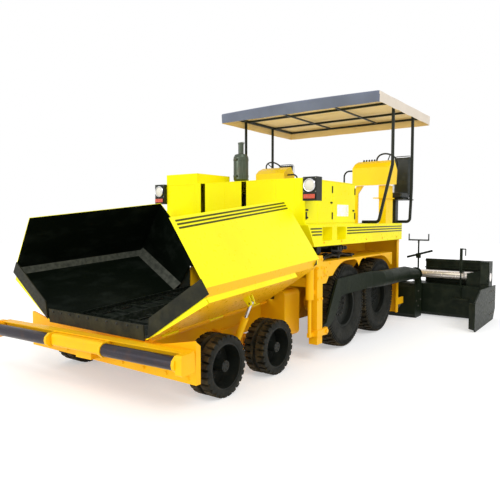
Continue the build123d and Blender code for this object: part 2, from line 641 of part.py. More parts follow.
def front_tyre():
    """Solid rubber band tyre with a groove round its middle; y counts from the inner face."""
    w, r = FRONT_WHEEL_W, FRONT_WHEEL_R
    return turned([(FRONT_RIM_R, 0), (r - 30, 0), (r, 22), (r, w / 2 - 18), (r - 22, w / 2 - 14),
                   (r - 22, w / 2 + 14), (r, w / 2 + 18), (r, w - 22), (r - 30, w), (FRONT_RIM_R, w)])


def front_rim():
    """Deep dished rim: barrel, inset disc and hub."""
    w, r = FRONT_WHEEL_W, FRONT_RIM_R
    bore = FRONT_SPINDLE_R + RUN
    hub_end = FRONT_SPINDLE_END - (FRONT_TRACK_HALF - w)
    return turned([(bore, 30), (68, 30), (68, 70), (r - 14, 70), (r - 14, 8), (r, 8), (r, w - 8),
                   (r - 14, w - 8), (r - 14, 86), (90, 86), (62, 104), (55, hub_end + 18),
                   (0, hub_end + 18), (0, hub_end + RUN), (bore, hub_end + RUN)])


def rear_tyre():
    """Pneumatic drive tyre with bulging walls."""
    w, r, bead = REAR_WHEEL_W, REAR_WHEEL_R, REAR_RIM_R
    return turned([(bead, 34), (bead + 40, 14), (bead + 120, 0), (r - 60, 6), (r - 14, 28), (r, 60),
                   (r, w - 60), (r - 14, w - 28), (r - 60, w - 6), (bead + 120, w), (bead + 40, w - 14),
                   (bead, w - 34)])


def rear_rim():
    """Drop-centre rim with a dished disc and a planetary hub."""
    w, r = REAR_WHEEL_W, REAR_RIM_R
    bore = SPINDLE_R + RUN
    hub_end = SPINDLE_END - (REAR_TRACK_HALF - w)
    return turned([(bore, 20), (118, 20), (118, 150), (r - 22, 178), (r - 22, 40), (r, 34),
                   (r, w - 34), (r - 22, w - 40), (r - 22, 196), (150, 176), (128, 176),
                   (118, hub_end + 42), (60, hub_end + 55), (0, hub_end + 55), (0, hub_end + RUN),
                   (bore, hub_end + RUN)])


def wheel_pair(shape, x, radius, inner):
    """The same ring on the left and on the right of an axle, dished outward on both."""
    left = Pos(x, inner, radius) * shape
    return {"left": left, "right": other_side(left)}


# ---------------------------------------------------------------- tow points and screed
def tow_slide():
    """Left sleeve on its post, with the tow pin's fork and the levelling rod."""
    y0, y1 = POST_Y
    x0, x1 = POST_X - POST_W / 2, POST_X + POST_W / 2
    pin_x, pin_z = TOW_PIN
    wall, low, high = 12.0, pin_z - 38, pin_z + 38
    sleeve = block((x0 - wall, x1 + wall), (y0 - wall, y1 + wall), (low, high))
    sleeve -= block((x0 - RUN, x1 + RUN), (y0 - RUN, y1 + RUN), (low - 1, high + 1))
    for y in ((ARM_Y[0] - SIDE_GAP - 26, ARM_Y[0] - SIDE_GAP), (ARM_Y[1] + SIDE_GAP, y1 + wall)):
        sleeve += prism("y", [(x0 - wall + 4, low), (pin_x - 20, low - 7), (pin_x - 45, pin_z),
                              (pin_x - 20, high + 7), (x0 - wall + 4, high)], y)
    sleeve += bar((pin_x, ARM_Y[0] - SIDE_GAP - 40, pin_z), (pin_x, y1 + wall + 14, pin_z), TOW_PIN_R)
    middle = (y0 + y1) / 2
    sleeve += block((x1 + wall - 2, LEVEL_X + 30), (middle - 18, middle + 18), (low + 6, low + 56))
    sleeve += bar((LEVEL_X, middle, low + 16), (LEVEL_X, middle, 830), LEVEL_ROD)
    return sleeve + bar((LEVEL_X, middle, 805), (LEVEL_X, middle, 830), LEVEL_R - 10 - RUN)


TOW_PIN_R = 25.0


def tow_arm():
    """Arm from the tow pin: a bent plate that swells into a round tube over the rear wheels."""
    px, pz = TOW_PIN
    outline = [(px + 20, pz + 54), (614, 445), (316, 956), (-600, 972), (-600, 732), (100, 738),
               (210, 727), (268, 632), (347, 521), (440, 438), (540, 385), (px - 50, pz - 30)]
    arm = prism("y", outline, ARM_Y)
    arm += bar((px, ARM_Y[0], pz), (px, ARM_Y[1], pz), 58)
    arm -= bar((px, ARM_Y[0] - 1, pz), (px, ARM_Y[1] + 1, pz), TOW_PIN_R + RUN)
    sections = []
    for x, z, half_width, half_depth in ARM_TUBE:
        inner = max(ARM_Y[0] + 1, ARM_INNER) if half_width < 15 else ARM_INNER
        seat = Plane(origin=(x, inner + half_width, z), x_dir=(0, 1, 0), z_dir=(-1, 0, 0))
        sections.append(seat * Ellipse(half_width, half_depth))
    arm += loft(sections, ruled=True)
    x, z = ARM_TUBE[-1][0], ARM_TUBE[-1][1]
    y = ARM_INNER + ARM_TUBE[-1][2]
    return arm + bar((x + 6, y, z), (x - 9, y, z), 112)


ARM_INNER = 1266.0            # just outside the drive tyres
# station, height of the middle, half width and half depth of the tube
ARM_TUBE = ((-540.0, 852.0, 13.0, 116.0), (-720.0, 850.0, 40.0, 119.0), (-960.0, 848.0, 86.0, 119.0),
            (-1200.0, 846.0, 104.0, 118.0), (-1950.0, 836.0, 104.0, 115.0), (-2480.0, 786.0, 91.0, 92.0),
            (-2545.0, 780.0, 88.0, 89.0))


def screed():
    """Main screed: boxed body with a raked front, end plates, guide sleeves and screws."""
    x0, x1 = SCREED_X
    body = prism("y", [(x0, 0), (x1 - 60, 0), (x1, 70), (x1, SCREED_TOP - 60), (x1 - 60, SCREED_TOP),
                       (x0, SCREED_TOP)], (-SCREED_HALF, SCREED_HALF))
    end = SCREED_HALF + END_PLATE
    arm_end = ARM_TUBE[-1][0] - 9.3
    half = prism("y", [(x0, 0), (x1 - 50, 0), (x1, 60), (x1, 620), (arm_end, 655), (arm_end, END_PLATE_TOP),
                       (x0 + 120, END_PLATE_TOP), (x0, SCREED_TOP)], (SCREED_HALF, end))
    y0, y1 = SLEEVE_Y
    half += pipe((GUIDE_X, y0, GUIDE_Z), (GUIDE_X, y1, GUIDE_Z), GUIDE_R + SLEEVE_WALL, GUIDE_R + RUN)
    half += block((GUIDE_X - 60, x0 + 60), (y0, y1), (EXT_Z[1] + 12, SCREED_TOP + 20))
    web = block((GUIDE_X - 60, x0 + 60), (y0, y1), (SCREED_TOP + 20, GUIDE_Z))
    half += web - bar((GUIDE_X, y0 - 1, GUIDE_Z), (GUIDE_X, y1 + 1, GUIDE_Z), GUIDE_R + 10)
    x, y = SCREED_X[1] - 50, end + 30
    half += block((x - 45, x + 35), (end - 2, end + 62), (610, 700))
    half += bar((x, y, 640), (x, y, 1358), 14) + bar((x, y - 176, 1358), (x, y + 176, 1358), 12)
    for place in (-168, 168):
        half += bar((x, y + place, 1352), (x, y + place, 1464), 10)
    half += block((x - 28, x + 28), (y - 34, y + 34), (1050, 1130))
    half += bar((x + 20, y - 190, 1060), (x - 20, y + 230, 1180), 18)
    body += half + other_side(half)
    walk = block((x0 + 10, x1 - 40), (-1080, 1080), (SCREED_TOP + 60, SCREED_TOP + 85))
    for y in (-900, -300, 300, 900):
        walk += block((x0 + 60, x1 - 100), (y - 20, y + 20), (SCREED_TOP - 5, SCREED_TOP + 62))
    return body + walk


def extension():
    """Left extension: boxed body, guide tube, back panel, head box, end gate and crank screw."""
    x0, x1 = EXT_X
    y0, y1 = EXT_Y
    z0, z1 = EXT_Z
    body = prism("y", [(x0, z0), (x1 - 50, z0), (x1, z0 + 55), (x1, z1), (x0, z1)], (y0, y1))
    body += bar((GUIDE_X, SLEEVE_Y[0] - 10, GUIDE_Z), (GUIDE_X, y1 + 10, GUIDE_Z), GUIDE_R)
    head_front = GUIDE_X + 130
    body += block((GUIDE_X - 140, head_front), (y1, GATE_Y[0]), (z1 - 100, 1000))
    body += prism("y", [(head_front - 5, 990), (head_front + 60, 640), (head_front + 45, 640),
                        (head_front - 5, 900)], (y1 + 20, GATE_Y[0] - 15))
    back = GUIDE_X - GUIDE_R - SLEEVE_WALL - 55
    for depth, low, high in ((12, z1 - 5, 1000), (40, 950, 995), (75, 840, 855), (25, 590, 610)):
        body += block((back, back + depth), (y0 + 210, y1 + 5), (low, high))
    tube_front = GUIDE_X + GUIDE_R
    body += prism("x", [(y1 - 220, z1 - 5), (y1 + 5, z1 - 5), (y1 + 5, 840), (y1 - 220, 790)],
                  (tube_front - 6, tube_front + 8))
    gate = prism("y", [(-2010, 0), (-1950, 60), (-1975, 450), (-2343, 609), (GATE_REAR, 572),
                       (GATE_REAR, 170), (GATE_REAR + 160, 0)], GATE_Y)
    gate += prism("z", [(-1962, GATE_Y[1]), (-1992, GATE_Y[1]), (-2070, GATE_Y[1] - 110),
                        (-2050, GATE_Y[1] - 110)], (30, 430))
    body += gate + block((x0 + 40, x1 - 40), (y1 - 5, GATE_Y[0]), (z0 + 30, z1 - 60))
    x, y = x1 + 28, y1 - 290
    body += bar((x, y, 330), (x, y, 810), 12) + bar((x, y, 800), (x, y, 1220), 24)
    body += bar((x, y - 8, 1208), (x, y + 78, 1208), 10) + bar((x, y + 71, 1212), (x, y + 71, 1094), 10)
    body += block((x - 22, x + 24), (y - 135, y + 135), (330, 360))
    for z in (345, 560):
        body += block((x1 - 5, x + 20), (y - 30, y + 30), (z - 14, z + 14))
    top = GUIDE_Z + GUIDE_R
    return body + block((GUIDE_X, x + 16), (y - 16, y + 16), (top - 12, top + 20))


def auger():
    """Left auger: hollow shaft with one spiral blade, lofted through straight sections."""
    y0, y1 = AUGER_Y
    shaft = bar((0, y0, 0), (0, y1, 0), AUGER_SHAFT_R)
    shaft -= bar((0, y0 - 1, 0), (0, y1 + 1, 0), AUGER_STUB_R + RUN)
    steps = 16
    turns = (y1 - y0 - 40) / AUGER_PITCH
    sections = []
    for i in range(int(turns * steps) + 1):
        angle = 360.0 * i / steps
        y = y0 + 20 + AUGER_PITCH * i / steps
        seat = Pos(0, y, 0) * Rot(0, angle, 0)
        blade = Plane(origin=(0, 0, 0), x_dir=(1, 0, 0), z_dir=(0, 0, 1))
        corners = [(AUGER_SHAFT_R - 6, -8, 0), (AUGER_R, -5, 0), (AUGER_R, 5, 0),
                   (AUGER_SHAFT_R - 6, 8, 0)]
        face = make_face(Polyline(*corners, close=True))
        sections.append(seat * face)
    blade = loft(sections, ruled=True)
    return Pos(AUGER_X, 0, AUGER_Z) * (shaft + blade)


# ---------------------------------------------------------------- canopy and operator stations
def canopy_frame():
    """Two bent posts a side and the tube frame under the awning."""
    under = CANOPY_Z[1] - CANOPY_SAG - CANOPY_SKIN - POST_TUBE_R
    rail_y = RAIL_Y
    seat = DECK_TOP + POST_TUBE_R
    tubes = []
    for x, foot_y, bend_y, bend_z in POST_PATHS.values():
        tubes += bent_tube([(x, foot_y, seat), (x, bend_y, seat), (x, rail_y, bend_z),
                            (x, rail_y, under)], POST_TUBE_R, 60)
        tubes += block((x - 60, x + 60), (foot_y - 20, foot_y + 100), (DECK_TOP, DECK_TOP + 8))
    tubes = Part() + tubes
    x0, x1 = CANOPY_X[0] + 60, CANOPY_X[1] - 60
    tubes += bar((x0, rail_y, under), (x1, rail_y, under), POST_TUBE_R)
    frame = tubes + other_side(tubes)
    for x in (x0, -2250, -1400, x1):
        frame += bar((x, -rail_y, under), (x, rail_y, under), 20)
    frame += bar((x0, 470, under), (x1, 470, under), 16) + bar((x0, -470, under), (x1, -470, under), 16)
    return frame


def canopy_fabric():
    """Awning: low crowned top with a valance hanging on all four sides."""
    x0, x1 = CANOPY_X
    skin = CANOPY_SKIN
    low, high = CANOPY_Z
    outer = prism("x", [(-CANOPY_HALF, low), (CANOPY_HALF, low), (CANOPY_HALF, high - CANOPY_SAG), (0, high),
                        (-CANOPY_HALF, high - CANOPY_SAG)], (x0, x1))
    inner = prism("x", [(-CANOPY_HALF + skin, low - 1), (CANOPY_HALF - skin, low - 1),
                        (CANOPY_HALF - skin, high - CANOPY_SAG - skin), (0, high - skin),
                        (-CANOPY_HALF + skin, high - CANOPY_SAG - skin)], (x0 + skin, x1 - skin))
    return outer - inner


def operator_stations():
    """Left station: console on its pedestal and brace, and the seat's base."""
    x0, x1 = CONSOLE_X
    y0, y1 = CONSOLE_Y
    desk = prism("y", [(x1, 2250), (x1, 2530), (x1 - 90, 2600), (x1 - 230, 2650), (x0, 2500),
                       (x0 + 30, 2270)], (y0, y1))
    ledge = block((x0 - 10, x1 + 10), (1010, 1215), (2040, 2056))
    pedestal = block((x0 + 20, x1 - 60), (1080, 1200), (DECK_TOP, 2040))
    valve = block((x0 + 30, x1 - 90), (1060, 1200), (2056, 2250))
    brace = prism("x", [(y0 + 40, 2250), (y0 + 150, 2250), (y0 + 60, 2120), (y0 + 60, DECK_TOP),
                        (y0, DECK_TOP), (y0, 2160)], (x1 - 120, x1 - 80))
    hoop = bent_tube([(x1 - 120, 450, DECK_TOP), (x1 - 120, 450, 2500), (x1 - 120, y0 + 8, 2500)], 13, 90)
    station = desk + ledge + pedestal + valve + brace + hoop
    seat = block((SEAT_X[0] - 40, SEAT_X[1] + 40), (SEAT_Y[0], SEAT_Y[1]), (2030, 2050))
    seat += block((-2140, -2020), (SEAT_Y[0] + 60, SEAT_Y[1] - 160), (DECK_TOP, 2030))
    return both_sides(station), both_sides(seat)


CONSOLE_X = (-1840.0, -1480.0)
CONSOLE_Y = (650.0, 1260.0)
SEAT_X = (-2380.0, -1960.0)
SEAT_Y = (985.0, 1335.0)


def seat_cushions():
    """Seat and back pads of both stations."""
    y0, y1 = SEAT_Y[0] + 15, SEAT_Y[1] - 15
    pad = prism("y", [(SEAT_X[0] + 60, 2050.3), (SEAT_X[1] + 30, 2050.3), (SEAT_X[1] + 30, 2130),
                      (SEAT_X[0] + 60, 2150)], (y0, y1))
    back = prism("y", [(SEAT_X[0] - 40, 2050.3), (SEAT_X[0] + 55, 2050.3), (SEAT_X[0] + 40, 2780),
                       (SEAT_X[0] - 40, 2780)], (y0, y1))
    return both_sides(Compound(children=[pad, back]))


def controls():
    """Left steering wheel on its column, and the lever bank."""
    slope = degrees(atan2(150, 130))
    wheel = Torus(170, 13) + bar((0, 0, -85 + RUN), (0, 0, 8), 20)
    for angle in (30, 150, 270):
        wheel += Rot(0, 0, angle) * bar((0, 0, 0), (170, 0, 0), 8)
    desk = Vector(CONSOLE_X[1] - 295, 1090, 2575)
    away = Vector(-sin(radians(slope)), 0, cos(radians(slope)))
    centre = desk + away * 85
    return both_sides(Pos(*centre) * Rot(0, -slope, 0) * wheel)


# ---------------------------------------------------------------- assembly
def build():
    hopper = Pos(HOPPER_FRONT, 0, HOPPER_FLOOR_Z) * Rot(0, HOPPER_SLOPE, 0)
    bearers = wing_place(1, 0) * hinge_bearers()
    floor = hopper * conveyors() + bearers + other_side(bearers)
    keep("main_frame", main_frame())
    keep("cylinder_brackets", cylinder_brackets())
    keep("conveyors", floor)
    keep("hopper_back_wall", hopper_back_wall())
    keep("apron_flap", hopper * apron_flap())
    keep("axle_beams", axle_beams())
    keep("fenders", fenders())
    keep("deck", deck())
    keep("engine_hood", engine_hood())
    keep("engine_block", block(ENGINE["x"], (-ENGINE["half"], ENGINE["half"]), ENGINE["z"]))
    keep("silencer", silencer())
    keep("headlamps", headlamps())
    keep("rear_plate", rear_plate())
    keep("pump_group", pump_group())
    keep("tow_posts", tow_posts())
    keep("canopy_frame", canopy_frame())
    keep("canopy_fabric", canopy_fabric())
    stations, seats = operator_stations()
    keep("operator_stations", stations)
    keep("seat_frames", seats)
    keep("seat_cushions", seat_cushions())
    keep("controls", controls())
    keep("push_beam", push_beam())
    wing = wing_place(1, WING_RAISED) * hopper_wing()
    flap = wing_place(1, WING_RAISED) * wing_flap()
    slide, side_screed, screw = tow_slide(), extension(), auger()
    front = {"tyre": front_tyre(), "rim": front_rim()}
    rear = {"tyre": rear_tyre(), "rim": rear_rim()}
    arm = tow_arm()
    barrel, rod = wing_cylinder()
    keep("screed", screed())
    keep("tow_arms", both_sides(arm))
    for name, side in (("left", 1), ("right", -1)):
        face = (lambda shape: shape) if side > 0 else other_side
        keep("push_roller_" + name, push_roller(side))
        keep("hopper_wing_" + name, face(wing))
        keep("wing_flap_" + name, face(flap))
        keep("wing_cylinder_" + name, face(barrel))
        keep("wing_rod_" + name, face(rod))
        keep("tow_slide_" + name, face(slide))
        keep("screed_extension_" + name, face(side_screed))
        keep("auger_" + name, face(screw))
    for axle, x in FRONT_AXLES.items():
        for piece, shape in front.items():
            pair = wheel_pair(shape, x, FRONT_WHEEL_R, FRONT_TRACK_HALF - FRONT_WHEEL_W)
            for name, solid in pair.items():
                keep("_".join((axle, name, piece)), solid)
        for name, side in (("left", 1), ("right", -1)):
            keep("_".join((axle, name, "knuckle")), knuckle(x, side))
    for axle, x in REAR_AXLES.items():
        for piece, shape in rear.items():
            pair = wheel_pair(shape, x, REAR_WHEEL_R, REAR_TRACK_HALF - REAR_WHEEL_W)
            for name, solid in pair.items():
                keep("_".join(("drive", axle, name, piece)), solid)


build()
for node, solid in NODES.items():
    export_step(solid, "parts/" + node + ".step")
corners = [shape.bounding_box() for shape in NODES.values()]
print(len(NODES), "nodes")
print("box", [round(min(getattr(b.min, a) for b in corners), 1) for a in "XYZ"],
      [round(max(getattr(b.max, a) for b in corners), 1) for a in "XYZ"])
for angle in (WING_LOWEST, WING_RAISED, WING_HIGHEST):
    print("wing at", angle, "deg: cylinder", [round(value, 2) for value in cylinder_line(angle)])
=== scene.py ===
# %% [markdown]
# # A wheeled asphalt paver
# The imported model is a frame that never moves: every piece made here goes where that frame says, in
# metres, with +X forward, +Y to the machine's left and +Z up.

# %% Load the frame
import bmesh
import bpy
from math import cos, pi, radians, sin
from mathutils import Matrix, Vector


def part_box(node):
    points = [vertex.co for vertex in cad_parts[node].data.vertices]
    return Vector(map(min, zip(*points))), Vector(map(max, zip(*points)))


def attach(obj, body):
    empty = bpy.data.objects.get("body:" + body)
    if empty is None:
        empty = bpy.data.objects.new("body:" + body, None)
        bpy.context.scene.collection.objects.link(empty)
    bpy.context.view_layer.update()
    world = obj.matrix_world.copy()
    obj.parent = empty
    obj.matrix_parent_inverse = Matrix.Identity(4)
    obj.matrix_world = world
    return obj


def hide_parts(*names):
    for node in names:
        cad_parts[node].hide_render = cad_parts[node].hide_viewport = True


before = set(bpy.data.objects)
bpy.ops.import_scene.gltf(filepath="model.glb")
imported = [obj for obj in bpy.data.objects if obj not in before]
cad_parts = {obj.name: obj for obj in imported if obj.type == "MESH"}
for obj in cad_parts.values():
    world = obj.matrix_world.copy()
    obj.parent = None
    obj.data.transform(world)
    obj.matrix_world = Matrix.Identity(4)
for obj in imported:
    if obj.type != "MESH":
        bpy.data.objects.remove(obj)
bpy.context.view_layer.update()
scene = bpy.context.scene

# %% [markdown]
# The camera stands ahead of the front left corner, a little above a standing person's eyes, and looks
# slightly down. A 37 mm lens at that distance gives the strong foreshortening of a machine seven
# metres long, which a longer lens would flatten.

# %% Camera
EYE = Vector((6.240, 4.232, 1.725))
YAW = radians(36.08)
DOWN = radians(3.5)
camera_data = bpy.data.cameras.new("camera")
camera_data.lens = 36.99
camera_data.sensor_width = 36.0
camera = bpy.data.objects.new("camera", camera_data)
scene.collection.objects.link(camera)
look = Vector((-cos(YAW) * cos(DOWN), -sin(YAW) * cos(DOWN), -sin(DOWN)))
camera.location = EYE
camera.rotation_mode = "QUATERNION"
camera.rotation_quaternion = look.to_track_quat("-Z", "Y")
scene.camera = camera
scene.view_settings.view_transform = "Standard"
print("camera to the machine's middle:", round((EYE - Vector((0, 0, 1.2))).length, 2), "m")

# %% [markdown]
# Shaders: every finish below is worked out from the piece's own shape and from noise, with no picture
# laid on it. A few small helpers come first, so that a finish reads as what it is made of.

# %% Shader helpers: nodes and sums
def shader(name):
    """A new material, its node tree and its surface node, which every finish here starts from."""
    material = bpy.data.materials.new(name)
    material.use_nodes = True
    tree = material.node_tree
    return material, tree, tree.nodes["Principled BSDF"]


def plug(tree, socket, value):
    """Feeds an input: another node's socket is linked to it, a colour or a number is set on it."""
    if isinstance(value, bpy.types.NodeSocket):
        tree.links.new(value, socket)
    elif isinstance(value, tuple):
        socket.default_value = (*value, 1.0)
    else:
        socket.default_value = value


def feed(tree, made, **inputs):
    """Feeds a node's inputs by name, with underscores for spaces."""
    for name, value in inputs.items():
        plug(tree, made.inputs[name.replace("_", " ")], value)


def node(tree, kind, **inputs):
    """One shader node with some of its inputs fed."""
    made = tree.nodes.new(kind)
    feed(tree, made, **inputs)
    return made


def math(tree, operation, *values, clamp=False):
    """A Math node fed with numbers or sockets; gives its output socket."""
    made = tree.nodes.new("ShaderNodeMath")
    made.operation = operation
    made.use_clamp = clamp
    for socket, value in zip(made.inputs, values):
        plug(tree, socket, value)
    return made.outputs[0]


def largest(tree, *values):
    """The largest of several masks, so 1 wherever any of them is 1."""
    most = values[0]
    for value in values[1:]:
        most = math(tree, "MAXIMUM", most, value)
    return most


def blend_colours(tree, amount, first, second):
    """Mixes two colours (tuples or sockets) by a socket or a number."""
    made = tree.nodes.new("ShaderNodeMix")
    made.data_type = "RGBA"
    for index, value in ((0, amount), (6, first), (7, second)):
        plug(tree, made.inputs[index], value)
    return made.outputs[2]


print("shader nodes can be made, fed and summed")

# %% Shader helpers: patterns and masks
def place(tree, stretch=(1.0, 1.0, 1.0)):
    """Coordinates in the object's own space, stretched, so that a pattern stays put when a body moves."""
    spot = tree.nodes.new("ShaderNodeTexCoord")
    scaled = tree.nodes.new("ShaderNodeMapping")
    scaled.inputs["Scale"].default_value = stretch
    tree.links.new(spot.outputs["Object"], scaled.inputs["Vector"])
    return scaled.outputs[0]


def noise(tree, scale, detail=3.0, stretch=(1.0, 1.0, 1.0), roughness=0.5):
    """Soft random pattern from 0 to 1; a small stretch along an axis draws it out into streaks."""
    made = node(tree, "ShaderNodeTexNoise", Vector=place(tree, stretch), Scale=scale, Detail=detail,
                Roughness=roughness)
    return made.outputs["Fac"]


def remap(tree, value, low, high, out_low=0.0, out_high=1.0):
    """A value between low and high, clamped and rescaled."""
    made = tree.nodes.new("ShaderNodeMapRange")
    made.clamp = True
    for index, number in enumerate((value, low, high, out_low, out_high)):
        plug(tree, made.inputs[index], number)
    return made.outputs[0]


def bumped(tree, surface, height, strength, distance):
    """Lets a height pattern tilt the surface's shading, at a distance in metres."""
    made = node(tree, "ShaderNodeBump", Height=height, Strength=strength, Distance=distance)
    feed(tree, surface, Normal=made.outputs[0])


def axes(tree):
    """The x, y and z sockets of the object's own coordinates."""
    spot = tree.nodes.new("ShaderNodeTexCoord")
    parts = tree.nodes.new("ShaderNodeSeparateXYZ")
    tree.links.new(spot.outputs["Object"], parts.inputs[0])
    return parts.outputs


def along(tree, direction, start=(0.0, 0.0, 0.0)):
    """How far a point lies from a start, measured along a direction."""
    terms = []
    for socket, share, origin in zip(axes(tree), direction, start):
        terms.append(math(tree, "MULTIPLY", math(tree, "SUBTRACT", socket, origin), share))
    return math(tree, "ADD", math(tree, "ADD", terms[0], terms[1]), terms[2])


def facing(tree, direction, edge=0.55):
    """1 where the object's own normal points along a direction."""
    spot = tree.nodes.new("ShaderNodeTexCoord")
    made = tree.nodes.new("ShaderNodeVectorMath")
    made.operation = "DOT_PRODUCT"
    tree.links.new(spot.outputs["Normal"], made.inputs[0])
    made.inputs[1].default_value = direction
    return math(tree, "GREATER_THAN", made.outputs["Value"], edge)


print("patterns, ranges and masks ready")

# %% [markdown]
# Studio: the machine stands on a pale floor under a broad, even sky. A lamp with a large disc gives soft
# shadows; a second one, with a larger disc still, lights the hopper from its own side. The floor could
# be an endless backdrop, but a flat sheet that looks paler to the camera than to the light keeps the
# shadow and is simpler.

# %% Sky
def camera_sees(tree):
    """1 for rays from the camera, off a gloss or through glass; 0 for the light that falls on things."""
    path = tree.nodes.new("ShaderNodeLightPath")
    kinds = ("Is Camera Ray", "Is Glossy Ray", "Is Transmission Ray")
    return largest(tree, *(path.outputs[kind] for kind in kinds))


SKY_LEVEL = 0.80
world = bpy.data.worlds.new("studio_sky")
scene.world = world
world.use_nodes = True
sky = world.node_tree.nodes["Background"]
sky.inputs["Color"].default_value = (1.0, 1.0, 1.0, 1.0)
level = remap(world.node_tree, camera_sees(world.node_tree), 0.0, 1.0, SKY_LEVEL, 1.0)
world.node_tree.links.new(level, sky.inputs["Strength"])
print("sky level", SKY_LEVEL)

# %% Floor
FLOOR_HALF = 30.0
floor_mesh = bpy.data.meshes.new("studio_floor")
corners = [(x * FLOOR_HALF, y * FLOOR_HALF, 0) for x, y in ((-1, -1), (1, -1), (1, 1), (-1, 1))]
floor_mesh.from_pydata(corners, [], [(0, 1, 2, 3)])
floor = bpy.data.objects.new("studio_floor", floor_mesh)
scene.collection.objects.link(floor)
floor_paint, tree, surface = shader("studio_floor")
feed(tree, surface, Base_Color=(0.95, 0.90, 0.80), Roughness=1.0, Specular_IOR_Level=0.0)
glow = node(tree, "ShaderNodeEmission", Strength=0.42)
pale = node(tree, "ShaderNodeBsdfDiffuse", Color=(0.72, 0.72, 0.72))
both = tree.nodes.new("ShaderNodeAddShader")
choose = tree.nodes.new("ShaderNodeMixShader")
for socket, source in ((both.inputs[0], glow.outputs[0]), (both.inputs[1], pale.outputs[0]),
                       (choose.inputs[0], camera_sees(tree)), (choose.inputs[1], surface.outputs[0]),
                       (choose.inputs[2], both.outputs[0]),
                       (tree.nodes["Material Output"].inputs[0], choose.outputs[0])):
    tree.links.new(source, socket)
floor_mesh.materials.append(floor_paint)
print("floor", 2 * FLOOR_HALF, "m across")

# %% Lamps
def lamp(name, power, disc, towards):
    """A distant lamp that shines along a direction; disc is its apparent size in degrees."""
    data = bpy.data.lights.new(name, "SUN")
    data.energy = power
    data.angle = radians(disc)
    made = bpy.data.objects.new(name, data)
    scene.collection.objects.link(made)
    made.rotation_mode = "QUATERNION"
    made.rotation_quaternion = Vector(towards).to_track_quat("-Z", "Y")


lamp("key_lamp", 0.92, 24, (-0.45, -0.80, -0.85))
lamp("front_fill", 1.0, 40, (-0.9, 0.25, -0.30))

# %% [markdown]
# Paint: a paver is sprayed gloss yellow over primed steel, lemon on its sheet metal and amber on its
# frame. A single flat colour would look like plastic, so the coat gets what a sprayed coat has: a slow
# drift in shade, faint runs down the panels, a fine orange-peel ripple, and a thin film of dust.

# %% Painted steel
def painted(name, colour, shade, gloss, dust=(0.60, 0.45, 0.12), dust_share=0.10, coat=0.10, shine=0.25):
    """Sprayed coat: gloss is its lowest roughness, coat its clear top layer, shine its mirror share."""
    material, tree, surface = shader(name)
    drift = remap(tree, noise(tree, 1.4, 4.0), 0.35, 0.68)
    runs = remap(tree, noise(tree, 5.0, 5.0, (3.0, 3.0, 0.22)), 0.52, 0.78)
    patches = remap(tree, noise(tree, 9.0, 6.0), 0.40, 0.72)
    film = math(tree, "MULTIPLY", math(tree, "MULTIPLY", runs, patches), dust_share, clamp=True)
    feed(tree, surface,
         Base_Color=blend_colours(tree, film, blend_colours(tree, drift, colour, shade), dust),
         Roughness=remap(tree, noise(tree, 26.0, 6.0), 0.35, 0.75, gloss, gloss + 0.16),
         Specular_IOR_Level=shine, Coat_Weight=coat, Coat_Roughness=0.12)
    dents = math(tree, "MULTIPLY", noise(tree, 14.0, 2.0), 0.9)
    peel = math(tree, "ADD", noise(tree, 420.0, 2.0), dents)
    bumped(tree, surface, peel, 0.10, 0.004)
    return material


LEMON, LEMON_SHADE = (1.0, 0.96, 0.004), (1.0, 0.86, 0.003)
AMBER, AMBER_SHADE = (1.0, 0.57, 0.004), (0.98, 0.48, 0.004)
GOLD, GOLD_SHADE = (1.0, 0.76, 0.003), (1.0, 0.66, 0.003)
YELLOW = painted("yellow_paint", LEMON, LEMON_SHADE, 0.26, dust_share=0.04, coat=0.02, shine=0.08)
FRAME_YELLOW = painted("frame_yellow", AMBER, AMBER_SHADE, 0.32, dust_share=0.16, coat=0.04, shine=0.18)
BLACK = painted("black_paint", (0.010, 0.014, 0.009), (0.016, 0.020, 0.014), 0.34,
                (0.06, 0.06, 0.04), 0.25, 0.0, 0.22)
SCREED_BLACK = painted("screed_black", (0.005, 0.010, 0.004), (0.012, 0.017, 0.009), 0.40,
                       (0.05, 0.06, 0.03), 0.5, 0.0, 0.12)
print("yellow and black coats:", YELLOW.name, FRAME_YELLOW.name, BLACK.name, SCREED_BLACK.name)

# %% [markdown]
# Hopper wings: outside they carry the yellow coat, inside they are dark and rubbed by the mix. One wing
# is one welded piece, so its shader has to tell inside from outside. It could be done with painted
# masks, but the wing's own normal is enough: floor, wall and rear plate each have a side that faces
# the load. The normal is read in the wing's own space, so it holds while the wing tips. Two sloping
# strips, where the floor meets the wall and the rear plate, are rubbed to a lighter grey.

# %% Where the hopper lies
WING_TIP = radians(33.0)
HOPPER_TILT = radians(3.5)
HINGE_X, HINGE_Y, HINGE_Z = 3.070, 0.745, 0.598
print("wings raised 33 degrees about hinges", 2 * HINGE_Y, "m apart")

# %% Wing: the faces that hold the mix
LIP_HEIGHT = 0.60
REAR_PLATE_X = 1.25


def loaded_faces(tree, side):
    """Two masks: all the faces that hold the mix, and the sloping strips among them."""
    up = (0.0, -side * sin(WING_TIP), cos(WING_TIP))
    inward = (0.0, -side * cos(WING_TIP), -sin(WING_TIP))
    corner = tuple((a + b) / 1.414 for a, b in zip(up, inward))
    rear_slope = (0.755, -side * 0.377, 0.536)
    lift = (cos(WING_TIP) * sin(HOPPER_TILT), -side * sin(WING_TIP), cos(WING_TIP) * cos(HOPPER_TILT))
    height = along(tree, lift, (HINGE_X, side * HINGE_Y, HINGE_Z))
    floor_side = math(tree, "MULTIPLY", facing(tree, up), math(tree, "LESS_THAN", height, LIP_HEIGHT))
    behind = math(tree, "LESS_THAN", axes(tree)[0], REAR_PLATE_X)
    rear = math(tree, "MULTIPLY", facing(tree, (1.0, 0.0, 0.06), 0.8), behind)
    load = largest(tree, floor_side, facing(tree, inward), rear, facing(tree, corner, 0.9),
                   facing(tree, rear_slope, 0.94))
    return load, largest(tree, facing(tree, corner, 0.97), facing(tree, rear_slope, 0.97))


